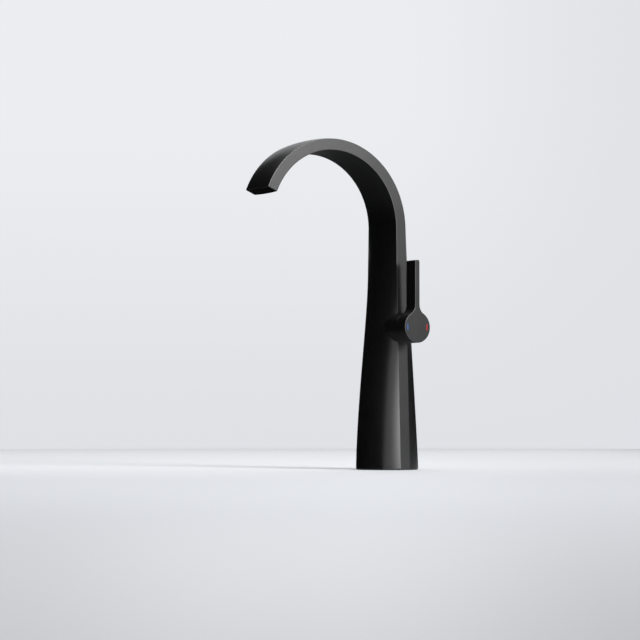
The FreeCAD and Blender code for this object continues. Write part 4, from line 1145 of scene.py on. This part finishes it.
def hang_cloth(name, reach, top_reach, height, first, last):
    """A curved cloth that stands on the deck round the tap, between two compass angles."""
    points = []
    for compass in even(first, last, CLOTH_STEPS):
        angle = math.radians(compass)
        out = Vector((math.cos(angle), math.sin(angle), 0))
        points += [out * reach, out * top_reach + Vector((0, 0, height))]
    faces = [(2 * k, 2 * k + 1, 2 * k + 3, 2 * k + 2) for k in range(CLOTH_STEPS)]
    cloth = piece_from(name, points, faces)
    cloth.data.materials.append(cloth_finish)
    cloth.visible_camera = False
    cloth.visible_diffuse = False
    cloth.visible_shadow = False
    print(f"{name} {reach} m away, {height} m high")


cloth_finish = finish_of("black_cloth", black_cloth)
for cloth in CLOTHS:
    hang_cloth(*cloth)

# %% [markdown]
# ## Soft lamps
#
# A softbox is a lamp behind a broad white sheet. The tap mirrors its brightness, not its power, so
# each lamp is set by brightness, and the power follows from its area. A row of three beside the
# lever, each brighter than the one before, gives the foot its broad sheen. A high one lights the
# flat edges of the bend, and one behind the tap draws a rim of light. A grid before each sheet
# narrows the beam, so that the deck near a lamp doesn't glare.

# %% Hang the softboxes
BEAM = math.radians(45)
LAMP_AIM = Vector((0, 0, 0.15))
# name, compass angle, lift angle, distance, size, brightness
SOFTBOXES = (
    ("front_softbox", -30, 13, 2.8, (1.5, 1.3), 0.9),
    ("middle_softbox", -5, 13, 2.8, (1.0, 1.3), 3.0),
    ("side_softbox", 13, 8, 2.8, (0.8, 0.8), 8.0),
    ("high_softbox", 14, 22, 2.8, (1.0, 1.0), 23.0),
    ("back_softbox", 150, 62, 2.4, (1.4, 1.4), 2.4),
)


def hang_softbox(name, compass, lift, reach, size, brightness):
    """A lamp at a compass angle and a lift angle, turned towards the tap."""
    turn, rise = math.radians(compass), math.radians(lift)
    out = Vector((math.cos(rise) * math.cos(turn), math.cos(rise) * math.sin(turn), math.sin(rise)))
    lamp = bpy.data.lights.new(name, "AREA")
    lamp.shape = "RECTANGLE"
    lamp.size, lamp.size_y = size
    lamp.spread = 2 * BEAM
    lamp.energy = brightness * math.pi * size[0] * size[1] * (1 - BEAM / math.tan(BEAM))
    stand(name, lamp, LAMP_AIM + out * reach, -out).visible_camera = False
    print(f"{name}: {lamp.energy:.0f} W")


for box in SOFTBOXES:
    hang_softbox(*box)

# %% [markdown]
# ## The pale room
#
# Behind the tap there is only a pale wall that is brighter towards the top left. It could be a big
# sheet, but the world's own colour does it with no edges. The wall fills what the camera looks
# towards. A pale ceiling lights the deck evenly, and the rest of the room is a dim grey, so that it
# doesn't wash out the black.

# %% Colour the room
UP = (0, 0, 1)
DIM, CEILING = (0.20, 0.20, 0.21), (0.86, 0.87, 0.89)
LOW_WALL, HIGH_WALL = (0.735, 0.75, 0.785), (0.835, 0.85, 0.87)
# where each part of the room starts and where it is full
HIGH_STEP, SIDE_STEP, SIDE_SHARE = (-0.03, 0.16), (0.02, 0.16), 0.8
WALL_STEP, CEILING_STEP = (0.72, 0.93), (0.60, 0.80)

pale_room = bpy.data.worlds.new("pale_room")
bpy.context.scene.world = pale_room
pale_room.use_nodes = True
board = Board(pale_room.node_tree)
towards = board.node("ShaderNodeTexCoord", out="Generated")
upward = along_way(towards, UP)
high = eased(upward, *HIGH_STEP)
right = eased(along_way(towards, ACROSS), *SIDE_STEP)
wall = between(high * (1 - SIDE_SHARE * right), LOW_WALL, HIGH_WALL)
behind = eased(along_way(towards, VIEW), *WALL_STEP)
empty = between(eased(upward, *CEILING_STEP), DIM, CEILING)
seen = between(behind, empty, wall)
light = board.node("ShaderNodeBackground", {}, {"Color": seen})
board.node("ShaderNodeOutputWorld", {}, {"Surface": light})
bpy.context.scene.view_settings.view_transform = "Standard"
print(f"room of {len(pale_room.node_tree.nodes)} nodes")
